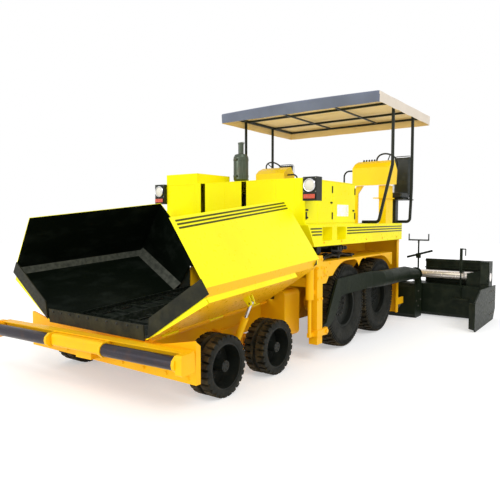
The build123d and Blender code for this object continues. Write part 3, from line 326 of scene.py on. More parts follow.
print("the lip above", LIP_HEIGHT, "m over the hinge keeps its paint")

# %% Wing: painted outside, scuffed inside
def scuffed(tree):
    """Dark mix-polished steel: near black, with long grey rub marks."""
    marks = remap(tree, noise(tree, 6.0, 8.0, (0.35, 1.0, 1.0), 0.62), 0.50, 0.74)
    return blend_colours(tree, marks, (0.002, 0.004, 0.002), (0.012, 0.016, 0.012))


def wing_finish(name, side):
    """Lemon outside, amber on the faces that look down as painted shade, dark where the mix lies, grey on
    the strips.
    """
    material, tree, surface = shader(name)
    load, strips = loaded_faces(tree, side)
    grey = blend_colours(tree, remap(tree, noise(tree, 18.0, 6.0), 0.3, 0.7), (0.045, 0.050, 0.040),
                         (0.105, 0.110, 0.088))
    inside = blend_colours(tree, strips, scuffed(tree), grey)
    coat = blend_colours(tree, remap(tree, noise(tree, 1.4, 4.0), 0.35, 0.68), LEMON, LEMON_SHADE)
    # Painted shade: faces that look down, the underside and the outer lower strip, are tinted amber for the
    # shade under the wing.
    down_facing_shade = facing(tree, (0.0, side * sin(WING_TIP), -cos(WING_TIP)), 0.3)
    coat = blend_colours(tree, down_facing_shade, coat, AMBER)
    rough = remap(tree, noise(tree, 22.0, 6.0), 0.35, 0.75, 0.26, 0.46)
    feed(tree, surface, Base_Color=blend_colours(tree, load, coat, inside),
         Roughness=math(tree, "ADD", rough, math(tree, "MULTIPLY", load, 0.18)),
         Specular_IOR_Level=math(tree, "MULTIPLY_ADD", load, -0.19, 0.25))
    ripple = math(tree, "ADD", noise(tree, 380.0, 2.0), math(tree, "MULTIPLY", noise(tree, 7.0, 2.0), 1.6))
    bumped(tree, surface, ripple, 0.12, 0.004)
    return material


def coat_node(name, material):
    """Puts a material on every slot of a frame node."""
    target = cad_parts[name]
    if not target.material_slots:
        target.data.materials.append(material)
    for slot in target.material_slots:
        slot.material = material


SIDES = (("left", 1), ("right", -1))
for side_name, side in SIDES:
    coat_node("hopper_wing_" + side_name, wing_finish("wing_finish_" + side_name, side))
print("wings coated, inside and out")

# %% [markdown]
# Bare metals: drag chains, push rollers, augers and cylinder rods are uncoated, and the silencer is
# burnt bare. Brushed streaks come from noise stretched along the piece, and rust comes in patches.

# %% Bare steel
def bare_steel(name, colour, rough, stretch, rust_share=0.0):
    """Streaked metal with patches of rust."""
    material, tree, surface = shader(name)
    streak = remap(tree, noise(tree, 40.0, 6.0, stretch), 0.30, 0.75)
    metal = blend_colours(tree, streak, colour, tuple(c * 0.62 for c in colour))
    rust = math(tree, "MULTIPLY", remap(tree, noise(tree, 11.0, 8.0), 0.52, 0.70), rust_share)
    feed(tree, surface, Base_Color=blend_colours(tree, rust, metal, (0.16, 0.07, 0.03)), Metallic=0.85,
         Roughness=remap(tree, streak, 0.0, 1.0, rough, rough + 0.2))
    bumped(tree, surface, noise(tree, 160.0, 4.0, stretch), 0.12, 0.002)
    return material


ROLLER_STEEL = bare_steel("roller_steel", (0.055, 0.050, 0.060), 0.24, (1.0, 0.06, 1.0), 0.2)
SLAT_STEEL = bare_steel("slat_steel", (0.012, 0.016, 0.012), 0.50, (1.0, 0.3, 1.0), 0.15)
AUGER_STEEL = bare_steel("auger_steel", (0.20, 0.19, 0.18), 0.38, (1.0, 1.0, 1.0), 0.5)
CHROME = bare_steel("rod_chrome", (0.78, 0.78, 0.80), 0.10, (1.0, 1.0, 0.1))
SILENCER_STEEL = bare_steel("silencer_steel", (0.10, 0.12, 0.09), 0.30, (1.0, 1.0, 0.15), 0.15)
ENGINE_GREY = painted("engine_grey", (0.10, 0.11, 0.11), (0.06, 0.06, 0.06), 0.5,
                      (0.05, 0.04, 0.03), 0.6, 0.0)
RIM_BLACK = painted("rim_black", (0.008, 0.010, 0.008), (0.014, 0.016, 0.013), 0.38,
                    (0.07, 0.06, 0.04), 0.5, 0.0, 0.2)
print("bare:", ROLLER_STEEL.name, SLAT_STEEL.name, AUGER_STEEL.name, CHROME.name, SILENCER_STEEL.name)

# %% [markdown]
# Some frame pieces carry two finishes. The guide tube of each screed extension is bright and its body
# black; the conveyor floor is dark but the hinge bearers under it are coated; each console is yellow
# with a black hand hoop. Cutting the meshes apart would work, but a mask worked out from where a point
# lies leaves the frame as it is.

# %% Screed extension, black and bright
TUBE_X, TUBE_Z, TUBE_R = -3.120, 0.738, 0.072


def screed_finish(name):
    """Black coat, with bright steel on whatever lies on the guide tube."""
    material, tree, surface = shader(name)
    x, _, z = axes(tree)
    across = math(tree, "POWER", math(tree, "SUBTRACT", x, TUBE_X), 2.0)
    up = math(tree, "POWER", math(tree, "SUBTRACT", z, TUBE_Z), 2.0)
    on_tube = math(tree, "LESS_THAN", math(tree, "SQRT", math(tree, "ADD", across, up)), TUBE_R + 0.0015)
    streak = remap(tree, noise(tree, 55.0, 5.0, (1.0, 0.05, 1.0)), 0.3, 0.75)
    bright = blend_colours(tree, streak, (0.95, 0.90, 0.88), (0.84, 0.78, 0.72))
    coat = blend_colours(tree, remap(tree, noise(tree, 7.0, 7.0), 0.45, 0.75), (0.006, 0.011, 0.005),
                         (0.022, 0.028, 0.016))
    rough = remap(tree, noise(tree, 24.0, 5.0), 0.3, 0.7, 0.36, 0.55)
    feed(tree, surface, Base_Color=blend_colours(tree, on_tube, coat, bright), Specular_IOR_Level=0.14,
         Metallic=math(tree, "MULTIPLY", on_tube, 0.55),
         Roughness=math(tree, "SUBTRACT", rough, math(tree, "MULTIPLY", on_tube, 0.24)))
    grain = math(tree, "MULTIPLY", noise(tree, 240.0, 3.0), math(tree, "SUBTRACT", 1.0, on_tube))
    bumped(tree, surface, grain, 0.10, 0.003)
    return material


EXTENSION_FINISH = screed_finish("extension_black_and_bright")
print("guide tube radius", TUBE_R, "m")

# %% Conveyor floor and stations
FLOOR_Z = 0.620
BEARER_Y = 0.714
HOOP_Y = 0.650


def floor_finish(name):
    """Conveyor floor and guards dark from the mix; hinge bearers below and beside it coated."""
    material, tree, surface = shader(name)
    height = along(tree, (sin(HOPPER_TILT), 0.0, cos(HOPPER_TILT)), (HINGE_X, 0.0, FLOOR_Z))
    beside = math(tree, "GREATER_THAN", math(tree, "ABSOLUTE", axes(tree)[1]), BEARER_Y)
    bearer = largest(tree, math(tree, "LESS_THAN", height, -0.004), beside)
    rubbed = blend_colours(tree, remap(tree, noise(tree, 30.0, 6.0, (1.0, 0.3, 1.0)), 0.45, 0.75),
                           (0.004, 0.007, 0.004), (0.030, 0.034, 0.028))
    feed(tree, surface, Base_Color=blend_colours(tree, bearer, rubbed, AMBER_SHADE), Specular_IOR_Level=0.2,
         Roughness=remap(tree, noise(tree, 24.0, 5.0), 0.3, 0.7, 0.32, 0.52))
    bumped(tree, surface, noise(tree, 160.0, 4.0), 0.12, 0.002)
    return material


def station_finish(name):
    """Console and pedestal in the deeper yellow; the hand hoop at the console's inner end in black."""
    material = painted(name, GOLD, GOLD_SHADE, 0.26, dust_share=0.06, coat=0.04, shine=0.15)
    tree = material.node_tree
    surface = tree.nodes["Principled BSDF"]
    colour = surface.inputs["Base Color"].links[0].from_socket
    hoop = math(tree, "LESS_THAN", math(tree, "ABSOLUTE", axes(tree)[1]), HOOP_Y)
    feed(tree, surface, Base_Color=blend_colours(tree, hoop, colour, (0.010, 0.014, 0.010)))
    return material


FLOOR_FINISH = floor_finish("conveyor_floor_and_bearers")
STATION_FINISH = station_finish("station_amber")
print("two-finish pieces:", EXTENSION_FINISH.name, FLOOR_FINISH.name, STATION_FINISH.name)

# %% [markdown]
# Everything that keeps its frame shape now gets its coat. The parts near the road are a deeper yellow
# and dustier than the sheet metal above them. A table of finishes, with the pieces that wear each one,
# is easier to check against the machine than one call for each piece.

# %% Coats for the frame's own pieces
COATS = (
    (YELLOW, "engine_hood deck"),
    (STATION_FINISH, "operator_stations"),
    (FRAME_YELLOW, "main_frame cylinder_brackets axle_beams fenders rear_plate tow_posts push_beam"),
    (BLACK, "canopy_frame seat_frames controls pump_group headlamps hopper_back_wall"),
    (SCREED_BLACK, "tow_arms screed"),
    (FLOOR_FINISH, "conveyors"),
    (ENGINE_GREY, "engine_block"),
    (SILENCER_STEEL, "silencer"),
)
COATS_EACH_SIDE = (
    (ROLLER_STEEL, "push_roller_{0}"),
    (FRAME_YELLOW, "wing_cylinder_{0} tow_slide_{0} front_{0}_knuckle second_{0}_knuckle"),
    (CHROME, "wing_rod_{0}"),
    (EXTENSION_FINISH, "screed_extension_{0}"),
    (AUGER_STEEL, "auger_{0}"),
    (RIM_BLACK, "front_{0}_rim second_{0}_rim drive_front_{0}_rim drive_rear_{0}_rim"),
)
coats = list(COATS)
for side_name, _ in SIDES:
    coats += [(finish, names.format(side_name)) for finish, names in COATS_EACH_SIDE]
coated = [(name, finish) for finish, names in coats for name in names.split()]
for name, finish in coated:
    coat_node(name, finish)
print(len(coated), "frame pieces coated")

# %% [markdown]
# Rubber: tyres, apron strip and wing strips. New rubber is black, but a machine that stands outdoors
# turns grey-brown where dust settles, most of all on the tread. One dust mask over a whole tyre would
# miss that, so walls and tread get a finish each, split by how far a face lies from the axle.

# %% Rubber
def rubber(name, dark, dust, share, scale=12.0, rough=0.62):
    """Matt rubber with patches of dust and a fine grain."""
    material, tree, surface = shader(name)
    mask = math(tree, "MULTIPLY", remap(tree, noise(tree, scale, 7.0), 0.38, 0.72), share)
    feed(tree, surface, Base_Color=blend_colours(tree, mask, dark, dust), Specular_IOR_Level=0.2,
         Roughness=remap(tree, noise(tree, 30.0, 4.0), 0.3, 0.7, rough - 0.08, rough + 0.14))
    bumped(tree, surface, noise(tree, 300.0, 4.0), 0.25, 0.002)
    return material


STRIP_RUBBER = rubber("strip_rubber", (0.010, 0.011, 0.005), (0.045, 0.042, 0.018), 0.6, 8.0, 0.50)
SIDEWALL = rubber("tyre_sidewall", (0.005, 0.006, 0.004), (0.026, 0.026, 0.020), 0.6, 7.0)
TREAD = rubber("tyre_tread", (0.010, 0.009, 0.005), (0.105, 0.075, 0.030), 0.6, 9.0, 0.72)
coat_node("apron_flap", STRIP_RUBBER)
for side_name, side in SIDES:
    coat_node("wing_flap_" + side_name, STRIP_RUBBER)
print("rubber:", STRIP_RUBBER.name, SIDEWALL.name, TREAD.name)

# %% [markdown]
# Mesh helpers: most trim here is turned, extruded or bent bar. Each helper returns plain vertices and
# faces, so that many small things can be joined into one mesh before it becomes an object. Adding and
# scaling primitives would be quicker to type, but every edge would stay razor sharp; these helpers cut
# a small chamfer where a real part has one.

# %% Mesh helpers: joining and placing
def joined(*shapes):
    """One (vertices, faces) pair from several."""
    vertices, faces = [], []
    for spots, loops in shapes:
        start = len(vertices)
        vertices += [tuple(spot) for spot in spots]
        faces += [tuple(start + i for i in loop) for loop in loops]
    return vertices, faces


def moved(shape, matrix):
    """A shape carried to another place."""
    return [matrix @ Vector(spot) for spot in shape[0]], shape[1]


def flipped(shape):
    """The same shape on the machine's other side."""
    return [(x, -y, z) for x, y, z in shape[0]], [tuple(reversed(loop)) for loop in shape[1]]


def on_side(shape, side):
    """A shape made for the left, flipped where the side is the right."""
    return shape if side > 0 else flipped(shape)


def mirrored(*shapes):
    """Several shapes and their twins on the machine's other side."""
    half = joined(*shapes)
    return joined(half, flipped(half))


def standing(shape, spot, towards):
    """A shape made upright on z = 0, stood on a spot to point along a direction."""
    turn = Vector(towards).to_track_quat("Z", "Y").to_matrix().to_4x4()
    return moved(shape, Matrix.Translation(spot) @ turn)


LEFT, FORWARD, BACK, UP = (0, 1, 0), (1, 0, 0), (-1, 0, 0), (0, 0, 1)
print("shapes can be joined, moved, mirrored and stood on a spot")

# %% Mesh helpers: turned and chamfered
def skin(rows, count, around=False):
    """Faces between rows of points, each row closed on itself; around joins the last row to the first."""
    faces = []
    for row in range(rows if around else rows - 1):
        a, b = row * count, (row + 1) % rows * count
        faces += [(a + i, a + (i + 1) % count, b + (i + 1) % count, b + i) for i in range(count)]
    return faces


def capped(rows, count):
    """A skin with a lid on its first row and on its last."""
    last = range((rows - 1) * count, rows * count)
    return skin(rows, count) + [tuple(reversed(range(count))), tuple(last)]


def turned(profile, steps=24, closed=False):
    """Revolves (radius, height) points about Z, with lids unless the profile closes on itself."""
    vertices = []
    for radius, height in profile:
        for i in range(steps):
            angle = 2 * pi * i / steps
            vertices.append((radius * cos(angle), radius * sin(angle), height))
    return vertices, skin(len(profile), steps, True) if closed else capped(len(profile), steps)


def chamfered(low, high, cut):
    """Block between two corners, with every edge cut back."""
    vertices = []
    for z, inset in ((low[2], cut), (low[2] + cut, 0.0), (high[2] - cut, 0.0), (high[2], cut)):
        x0, y0, x1, y1 = low[0] + inset, low[1] + inset, high[0] - inset, high[1] - inset
        vertices += [(x0 + cut, y0, z), (x1 - cut, y0, z), (x1, y0 + cut, z), (x1, y1 - cut, z),
                     (x1 - cut, y1, z), (x0 + cut, y1, z), (x0, y1 - cut, z), (x0, y0 + cut, z)]
    return vertices, capped(4, 8)


def hex_head(width, height):
    """Hexagon bolt head with its washer and rounded crown, standing on z = 0."""
    r = width / 2
    washer = turned([(r * 1.35, 0.0), (r * 1.35, height * 0.18), (r * 1.2, height * 0.24)], 16)
    head = turned([(r, height * 0.2), (r, height * 0.85), (r * 0.82, height)], 6)
    return joined(washer, head)


def bolts(spots, towards, width, height):
    """Bolt heads on several spots of one face."""
    return [standing(hex_head(width, height), spot, towards) for spot in spots]


print("a bolt head has", len(hex_head(0.03, 0.012)[1]), "faces")

# %% Mesh helpers: bent tube
def rounded_path(points, corner):
    """Points with each inner corner rounded by a short arc of six steps."""
    spots = [Vector(point) for point in points]
    path = [spots[0]]
    for before, here, after in zip(spots, spots[1:], spots[2:]):
        cut = min(corner, (before - here).length * 0.45, (after - here).length * 0.45)
        a = here + (before - here).normalized() * cut
        b = here + (after - here).normalized() * cut
        for i in range(7):
            t = i / 6
            path.append(a * (1 - t) ** 2 + here * 2 * t * (1 - t) + b * t ** 2)
    return path + [spots[-1]]


def hose(points, radius, corner, steps):
    """Round tube along rounded points, with a lid on both ends."""
    path = rounded_path(points, corner)
    vertices = []
    side_way = (path[1] - path[0]).orthogonal()
    for i, spot in enumerate(path):
        ahead = (path[min(i + 1, len(path) - 1)] - path[max(i - 1, 0)]).normalized()
        side_way = (side_way - ahead * side_way.dot(ahead)).normalized()
        other = ahead.cross(side_way)
        for k in range(steps):
            angle = 2 * pi * k / steps
            vertices.append(spot + (side_way * cos(angle) + other * sin(angle)) * radius)
    return vertices, capped(len(path), steps)


print("a straight tube has", len(hose([(0, 0, 0), (1, 0, 0)], 0.1, 0.1, 8)[1]), "faces")

# %% From a shape to a piece
def piece(name, shape, material, body, smooth=35.0):
    """Makes an object of a shape, gives it its finish and lets it ride on a body."""
    mesh = bpy.data.meshes.new(name)
    mesh.from_pydata([tuple(spot) for spot in shape[0]], [], shape[1])
    work = bmesh.new()
    work.from_mesh(mesh)
    bmesh.ops.recalc_face_normals(work, faces=work.faces)
    limit = radians(smooth)
    for face in work.faces:
        face.smooth = True
    for edge in work.edges:
        edge.smooth = len(edge.link_faces) != 2 or edge.calc_face_angle(0.0) < limit
    work.to_mesh(mesh)
    work.free()
    made = bpy.data.objects.new(name, mesh)
    scene.collection.objects.link(made)
    mesh.materials.append(material)
    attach(made, body)
    return made


# %% [markdown]
# Front tyres: solid bands with deep square blocks along both shoulders and a plain groove round the
# middle. The band and the blocks are one profile, swept round in steps: for three steps in every ten
# the shoulder drops, which leaves a gap between blocks. Blocks as separate boxes would show a seam at
# their feet.

# %% Front tyres
FRONT_R, FRONT_W, FRONT_RIM = 0.304, 0.266, 0.226
GROOVE = 0.026
SHOULDER = 0.078
BLOCKS = 26
STEPS, GAP_FROM = 10, 7


def block_tyre():
    """Band tyre about the Y axis from y = 0 to its width; the shoulders are notched into blocks."""
    floor_r, middle = FRONT_R - GROOVE, FRONT_W / 2
    half = [(FRONT_RIM, 0.004), (FRONT_RIM + 0.010, 0.0), (floor_r - 0.012, 0.0), (FRONT_R - 0.006, 0.004),
            (FRONT_R, 0.012), (FRONT_R, SHOULDER), (FRONT_R, middle - 0.030),
            (FRONT_R - 0.004, middle - 0.026), (floor_r, middle - 0.020)]
    rows = half + [(r, FRONT_W - y) for r, y in reversed(half)]
    stagger = {3: 0, 4: 0, 5: 0, 12: 5, 13: 5, 14: 5}
    vertices = []
    for i in range(BLOCKS * STEPS):
        angle = 2 * pi * i / (BLOCKS * STEPS)
        for row, (r, y) in enumerate(rows):
            if row in stagger and (i + stagger[row]) % STEPS >= GAP_FROM:
                r = min(r, floor_r)
            vertices.append((r * cos(angle), y, r * sin(angle)))
    return vertices, skin(BLOCKS * STEPS, len(rows), True)


def fit_tyres(axles, shape, kind, tread_from):
    """Puts a tyre, made from y = 0 outward, where each frame tyre stands; the tread gets its own finish."""
    for base in [axle + "_" + side_name for axle in axles for side_name, _ in SIDES]:
        side = 1 if base.endswith("left") else -1
        low, high = (Vector(corner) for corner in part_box(base + "_tyre"))
        centre = (low + high) / 2
        inner = low.y if side > 0 else -high.y
        placed = on_side(moved(shape, Matrix.Translation((centre.x, inner, centre.z))), side)
        made = piece(base + kind, placed, SIDEWALL, base + "_wheel", 28.0)
        made.data.materials.append(TREAD)
        for face in made.data.polygons:
            away = face.center - centre
            if Vector((away.x, 0, away.z)).length > tread_from:
                face.material_index = 1
        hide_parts(base + "_tyre")


band = block_tyre()
fit_tyres(("front", "second"), band, "_block_tyre", FRONT_R - 0.022)
print("front tyres: 4 with", len(band[1]), "faces each")

# %% [markdown]
# Drive tyres: pneumatic, with bulging walls and heavy tread blocks in a brick pattern, set at a slant.
# The carcass is revolved and the blocks are lofted onto it, because a bump pattern in the shader would
# leave the tyre's outline round.

# %% Drive tyres: blocks and bars
DRIVE_R, DRIVE_W = 0.560, 0.300
CARCASS = ((0.290, 0.034), (0.300, 0.022), (0.335, 0.010), (0.400, 0.001), (0.440, 0.000), (0.490, 0.006),
           (0.515, 0.016), (0.531, 0.034), (0.537, 0.070), (0.539, 0.150))
COLUMNS = ((0.018, 0.098, 0.0, 0.46), (0.106, 0.194, 0.5, 0.62), (0.202, 0.282, 0.0, 0.46))
ROUND_STEPS = 96
LUGS = 40
PITCH = 2 * pi / LUGS
SLANT = 0.10


def tread_block(low, high, start, end):
    """One block on the crown between two widths and two angles, its top a little smaller than its foot."""
    vertices = []
    for radius, inset in ((0.522, 0.0), (DRIVE_R - 0.003, 0.0015), (DRIVE_R, 0.004)):
        for y, angle, way_y, way_a in ((low, start, 1, 1), (high, start, -1, 1), (high, end, -1, -1),
                                       (low, end, 1, -1)):
            turn = angle + SLANT * (y - DRIVE_W / 2) + way_a * inset / radius
            place_y = y + way_y * inset
            r = radius - max(0.0, abs(place_y - DRIVE_W / 2) - 0.095) * 0.22
            vertices.append((r * cos(turn), place_y, r * sin(turn)))
    return vertices, capped(3, 4)


def shoulder_bar(side_y, lean, start, width):
    """Short bar from the crown down over the shoulder."""
    vertices = []
    for radius, depth in ((0.548, 0.016), (0.528, 0.008), (0.500, 0.003), (0.470, 0.001)):
        end = start + width
        for out, angle in ((-0.0005, start), (-0.0005, end), (0.018, end), (0.018, start)):
            y = side_y + lean * max(depth - 0.004 + out, 0.0002)
            r = radius if out < 0 else radius - 0.012
            vertices.append((r * cos(angle), y, r * sin(angle)))
    faces = [(0, 1, 2, 3), (15, 14, 13, 12)]
    for ring in (0, 4, 8):
        faces += [(ring + i, ring + 4 + i, ring + 4 + (i + 1) % 4, ring + (i + 1) % 4) for i in range(4)]
    return vertices, faces


print("tread:", LUGS * len(COLUMNS), "blocks and", LUGS * 4, "shoulder bars")

# %% Drive tyres
def drive_tyre():
    """Carcass with three columns of tread blocks and a row of bars over each shoulder."""
    outline = list(CARCASS) + [(r, DRIVE_W - y) for r, y in reversed(CARCASS[:-1])]
    vertices = []
    for i in range(ROUND_STEPS):
        angle = 2 * pi * i / ROUND_STEPS
        vertices += [(r * cos(angle), y, r * sin(angle)) for r, y in outline]
    shapes = [(vertices, skin(ROUND_STEPS, len(outline), True))]
    for i in range(LUGS):
        for low, high, offset, share in COLUMNS:
            start = (i + offset) * PITCH
            shapes.append(tread_block(low, high, start, start + PITCH * share))
    for side_y, lean in ((0.0, 1), (DRIVE_W, -1)):
        shapes += [shoulder_bar(side_y, lean, i * PITCH / 2, PITCH * 0.26) for i in range(2 * LUGS)]
    return joined(*shapes)


lugged = drive_tyre()
fit_tyres(("drive_front", "drive_rear"), lugged, "_lug_tyre", DRIVE_R - 0.036)
print("drive tyres: 4 with", len(lugged[1]), "faces each")

# %% [markdown]
# Canopy: coated cloth drawn over a tube frame. On the real machine it is one sheet with its corners
# sewn, the valance hanging loose all round. It is built here as one continuous surface: rings of a
# rounded rectangle run out from the middle of the top, turn over the edge tube and go down to the hem,
# then the same way back on the inside. The top sinks a little between the tubes, and the valance
# leans in and out in small waves. A cloth solver would give the same small folds, but slower and with
# hems that swing out of the frame's box. Daylight comes through the cloth, so its lining glows faintly.

# %% Canopy: outline, top and folds
CANOPY_MID = -1.818
CANOPY_X, CANOPY_Y = 1.150, 1.426
CANOPY_TOP, CANOPY_HEM = 3.533, 3.348
CLOTH = 0.0035
TUBES = (-2.908, -2.250, -1.400, -0.728)
BOW_Y = 0.47
SAG, CROWN = 0.010, 0.024
ARC_STEPS, RUN_STEPS = 8, 40


def cloth_ring(inset, corner):
    """Points and outward directions round one rounded rectangle."""
    a, b = CANOPY_X - inset, CANOPY_Y - inset
    corner = min(corner, a * 0.9, b * 0.9)
    arcs = []
    for quarter, (sx, sy) in enumerate(((1, 1), (-1, 1), (-1, -1), (1, -1))):
        angles = [pi / 2 * (quarter + i / ARC_STEPS) for i in range(ARC_STEPS + 1)]
        arcs.append([(sx * (a - corner) + corner * cos(angle), sy * (b - corner) + corner * sin(angle),
                      cos(angle), sin(angle)) for angle in angles])
    spots = []
    for arc, after in zip(arcs, arcs[1:] + arcs[:1]):
        (x0, y0, nx, ny), (x1, y1, _, _) = arc[-1], after[0]
        shares = [i / RUN_STEPS for i in range(1, RUN_STEPS)]
        spots += arc + [(x0 + (x1 - x0) * t, y0 + (y1 - y0) * t, nx, ny) for t in shares]
    return spots


def cloth_top(x, y):
    """Height of the top: a low crown, sinking between the tubes it lies on."""
    x += CANOPY_MID
    y = abs(y)
    sink = 0.0
    for rear, front in zip(TUBES, TUBES[1:]):
        if rear < x < front:
            sink = SAG * sin(pi * (x - rear) / (front - rear)) ** 2
    if y < BOW_Y:
        between = 0.5 - 0.5 * cos(pi * y / BOW_Y)
    else:
        between = sin(pi * (y - BOW_Y) / (CANOPY_Y - BOW_Y)) ** 2
    return CANOPY_TOP - 0.001 - CROWN * (y / CANOPY_Y) ** 1.6 - sink * (0.35 + 0.65 * between)


def valance_wave(x, y, share):
    """How far the valance leans in at a point, for a share of its drop from 0 to 1."""
    run = x if abs(abs(y) - CANOPY_Y) < 0.2 else y
    folds = sin(run * 11.0 + 0.7) + 0.6 * sin(run * 23.0 + 1.9) + 0.35 * sin(run * 41.0)
    return (0.0050 + 0.0024 * folds) * share


print("canopy outline:", len(cloth_ring(0.0, 0.045)), "points in a ring")

# %% Canopy: one closed surface
TOP_INSETS = (1.149, 0.9, 0.7, 0.5, 0.34, 0.2, 0.1, 0.05, 0.024)
TURN_OVER = ((0.014, 0.0015), (0.006, 0.006), (0.0015, 0.014))
VALANCE_STEPS = 12


def canopy_cover():
    """The whole cover; gives its shape, how many rings lie outside and how many points a ring has."""
    rings = []
    for inset in TOP_INSETS:
        spots = cloth_ring(inset, max(0.001, 0.06 - inset * 0.05))
        rings.append([(x, y, cloth_top(x, y)) for x, y, _, _ in spots])
    edge = cloth_ring(0.0, 0.045)
    for inset, drop in TURN_OVER:
        rings.append([(x - nx * inset, y - ny * inset, cloth_top(x, y) - drop) for x, y, nx, ny in edge])
    for step in range(1, VALANCE_STEPS + 1):
        share = step / VALANCE_STEPS
        ring = []
        for x, y, nx, ny in edge:
            lean = valance_wave(x, y, share)
            scallop = 0.004 * abs(sin((x if abs(ny) > 0.5 else y) * 5.2)) * share
            top = cloth_top(x, y) - 0.016
            ring.append((x - nx * lean, y - ny * lean, top + (CANOPY_HEM + scallop - top) * share))
        rings.append(ring)
    outside = len(rings)
    for row in reversed(range(outside)):
        inward = CLOTH if row >= len(TOP_INSETS) else 0.0
        below = CLOTH if row < len(TOP_INSETS) + len(TURN_OVER) else 0.0
        rings.append([(x - nx * inward, y - ny * inward, z - below)
                      for (x, y, z), (_, _, nx, ny) in zip(rings[row], edge)])
    count = len(edge)
    vertices = [(x + CANOPY_MID, y, z) for ring in rings for x, y, z in ring]
    *sides, first_lid, last_lid = capped(len(rings), count)
    return (vertices, [first_lid, *sides, last_lid]), outside, count


cover_shape, outer_rings, ring_count = canopy_cover()
print("canopy cover:", len(cover_shape[1]), "faces, cloth", CLOTH * 1000, "mm thick")

# %% Canopy: cloth and its three colours
THREAD = 900.0


def cloth_finish(name, colour, shade):
    """Coated weave: two crossed sets of fine threads, creases and a little soiling."""
    material, tree, surface = shader(name)
    soil = remap(tree, noise(tree, 1.6, 5.0), 0.38, 0.72)
    feed(tree, surface, Base_Color=blend_colours(tree, soil, colour, shade), Roughness=0.68,
         Sheen_Weight=0.25)
    x, y, z = axes(tree)
    level = math(tree, "SINE", math(tree, "MULTIPLY", math(tree, "ADD", x, y), THREAD))
    upright = math(tree, "SINE", math(tree, "MULTIPLY", math(tree, "ADD", z, y), THREAD))
    weave = math(tree, "MULTIPLY", math(tree, "ADD", level, upright), 0.10)
    creases = math(tree, "MULTIPLY", noise(tree, 7.0, 4.0, (1.0, 1.0, 0.35)), 3.2)
    bumped(tree, surface, math(tree, "ADD", weave, creases), 0.45, 0.012)
    return material


COVER_GREY = cloth_finish("cover_grey", (0.140, 0.165, 0.240), (0.098, 0.116, 0.170))
COVER_CREAM = cloth_finish("cover_cream", (0.80, 0.72, 0.63), (0.73, 0.65, 0.55))
COVER_LINING = cloth_finish("cover_lining", (0.80, 0.60, 0.28), (0.66, 0.47, 0.20))
tree = COVER_LINING.node_tree
feed(tree, tree.nodes["Principled BSDF"], Emission_Color=(0.60, 0.42, 0.16), Emission_Strength=0.24)
cover = piece("canopy_cover", cover_shape, COVER_CREAM, "chassis", 60.0)
cover.data.materials.append(COVER_GREY)
cover.data.materials.append(COVER_LINING)
FRONT_EDGE = CANOPY_MID + CANOPY_X - 0.022
for face in cover.data.polygons:
    row = (face.index - 1) // ring_count
    if face.index > 0 and row >= outer_rings - 1:
        face.material_index = 2
    elif face.center.x > FRONT_EDGE and row > 7 and abs(face.center.y) < CANOPY_Y - 0.012:
        face.material_index = 1
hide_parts("canopy_fabric")
print("canopy cover in", COVER_CREAM.name, COVER_GREY.name, "and", COVER_LINING.name)

# %% [markdown]
# Seats: each station has a padded seat and a tall back in black vinyl over foam. The pads are blown up
# in the cloth solver from a block a little smaller than the frame's pad, which gives the crown and the
# pulled-in sides that a chamfered box lacks; how far a point may move is capped. The welt, the cord
# sewn round each face, comes after, because the remesh would swallow it.

# %% Seat pads: foam
FOAM_START = 0.011
FOAM_CAP = 0.016


def applied(made):
    """An object's mesh as its modifiers leave it."""
    return bpy.data.meshes.new_from_object(made.evaluated_get(bpy.context.evaluated_depsgraph_get()))


def blown_pad(low, high):
    """A closed cover between two corners, filled until it crowns; gives its vertices and faces."""
    start = chamfered([a + FOAM_START for a in low], [b - FOAM_START for b in high], 0.014)
    mesh = bpy.data.meshes.new("foam_start")
    mesh.from_pydata([tuple(spot) for spot in start[0]], [], start[1])
    foam = bpy.data.objects.new("foam_start", mesh)
    scene.collection.objects.link(foam)
    remesh = foam.modifiers.new("even_faces", "REMESH")
    remesh.mode = "VOXEL"
    remesh.voxel_size = 0.010
    bpy.context.view_layer.update()
    even = applied(foam)
    foam.modifiers.clear()
    foam.data = even
    resting = [vertex.co.copy() for vertex in even.vertices]
    cloth = foam.modifiers.new("filling", "CLOTH")
    cloth.settings.use_pressure = True
    cloth.settings.uniform_pressure_force = 4.0
    cloth.settings.effector_weights.gravity = 0.0
    for moment in range(1, 15):
        scene.frame_set(moment)
    full = applied(foam)
    spots = []
    for before, vertex in zip(resting, full.vertices):
        step = vertex.co - before
        if step.length > FOAM_CAP:
            step *= FOAM_CAP / step.length
        spots.append(tuple(max(a, min(b, value)) for a, b, value in zip(low, high, before + step)))
    loops = [tuple(face.vertices) for face in full.polygons]
    bpy.data.objects.remove(foam)
    scene.frame_set(1)
    return spots, loops


SEAT_LOW, SEAT_HIGH = (-2.320, 1.000, 2.0505), (-1.930, 1.320, 2.150)
BACK_LOW, BACK_HIGH = (-2.420, 1.000, 2.0505), (-2.326, 1.320, 2.780)
seat_pad = blown_pad(SEAT_LOW, SEAT_HIGH)
back_pad = blown_pad(BACK_LOW, BACK_HIGH)
print("foam faces:", len(seat_pad[1]), "in a seat,", len(back_pad[1]), "in a back")

# %% Seat pads: welts and vinyl
def welt(corners):
    """Cord sewn round a pad's face; its two ends meet between the first corner and the last."""
    first, last = Vector(corners[0]), Vector(corners[-1])
    start = (first + last) / 2
    return hose([start, *corners, start + (last - first).normalized() * 0.001], 0.004, 0.05, 8)


def back_welt(x):
    """Welt round the upright face of the back, at one x."""
    y0, y1, z0, z1 = BACK_LOW[1] + 0.006, BACK_HIGH[1] - 0.006, BACK_LOW[2] + 0.010, BACK_HIGH[2] - 0.006
    return welt([(x, y0, z0), (x, y0, z1), (x, y1, z1), (x, y1, z0)])


def seat_welt(z):
    """Welt round the level face of the seat, at one z."""
    x0, x1, y0, y1 = SEAT_LOW[0] + 0.006, SEAT_HIGH[0] - 0.006, SEAT_LOW[1] + 0.006, SEAT_HIGH[1] - 0.006
    return welt([(x0, y0, z), (x0, y1, z), (x1, y1, z), (x1, y0, z)])


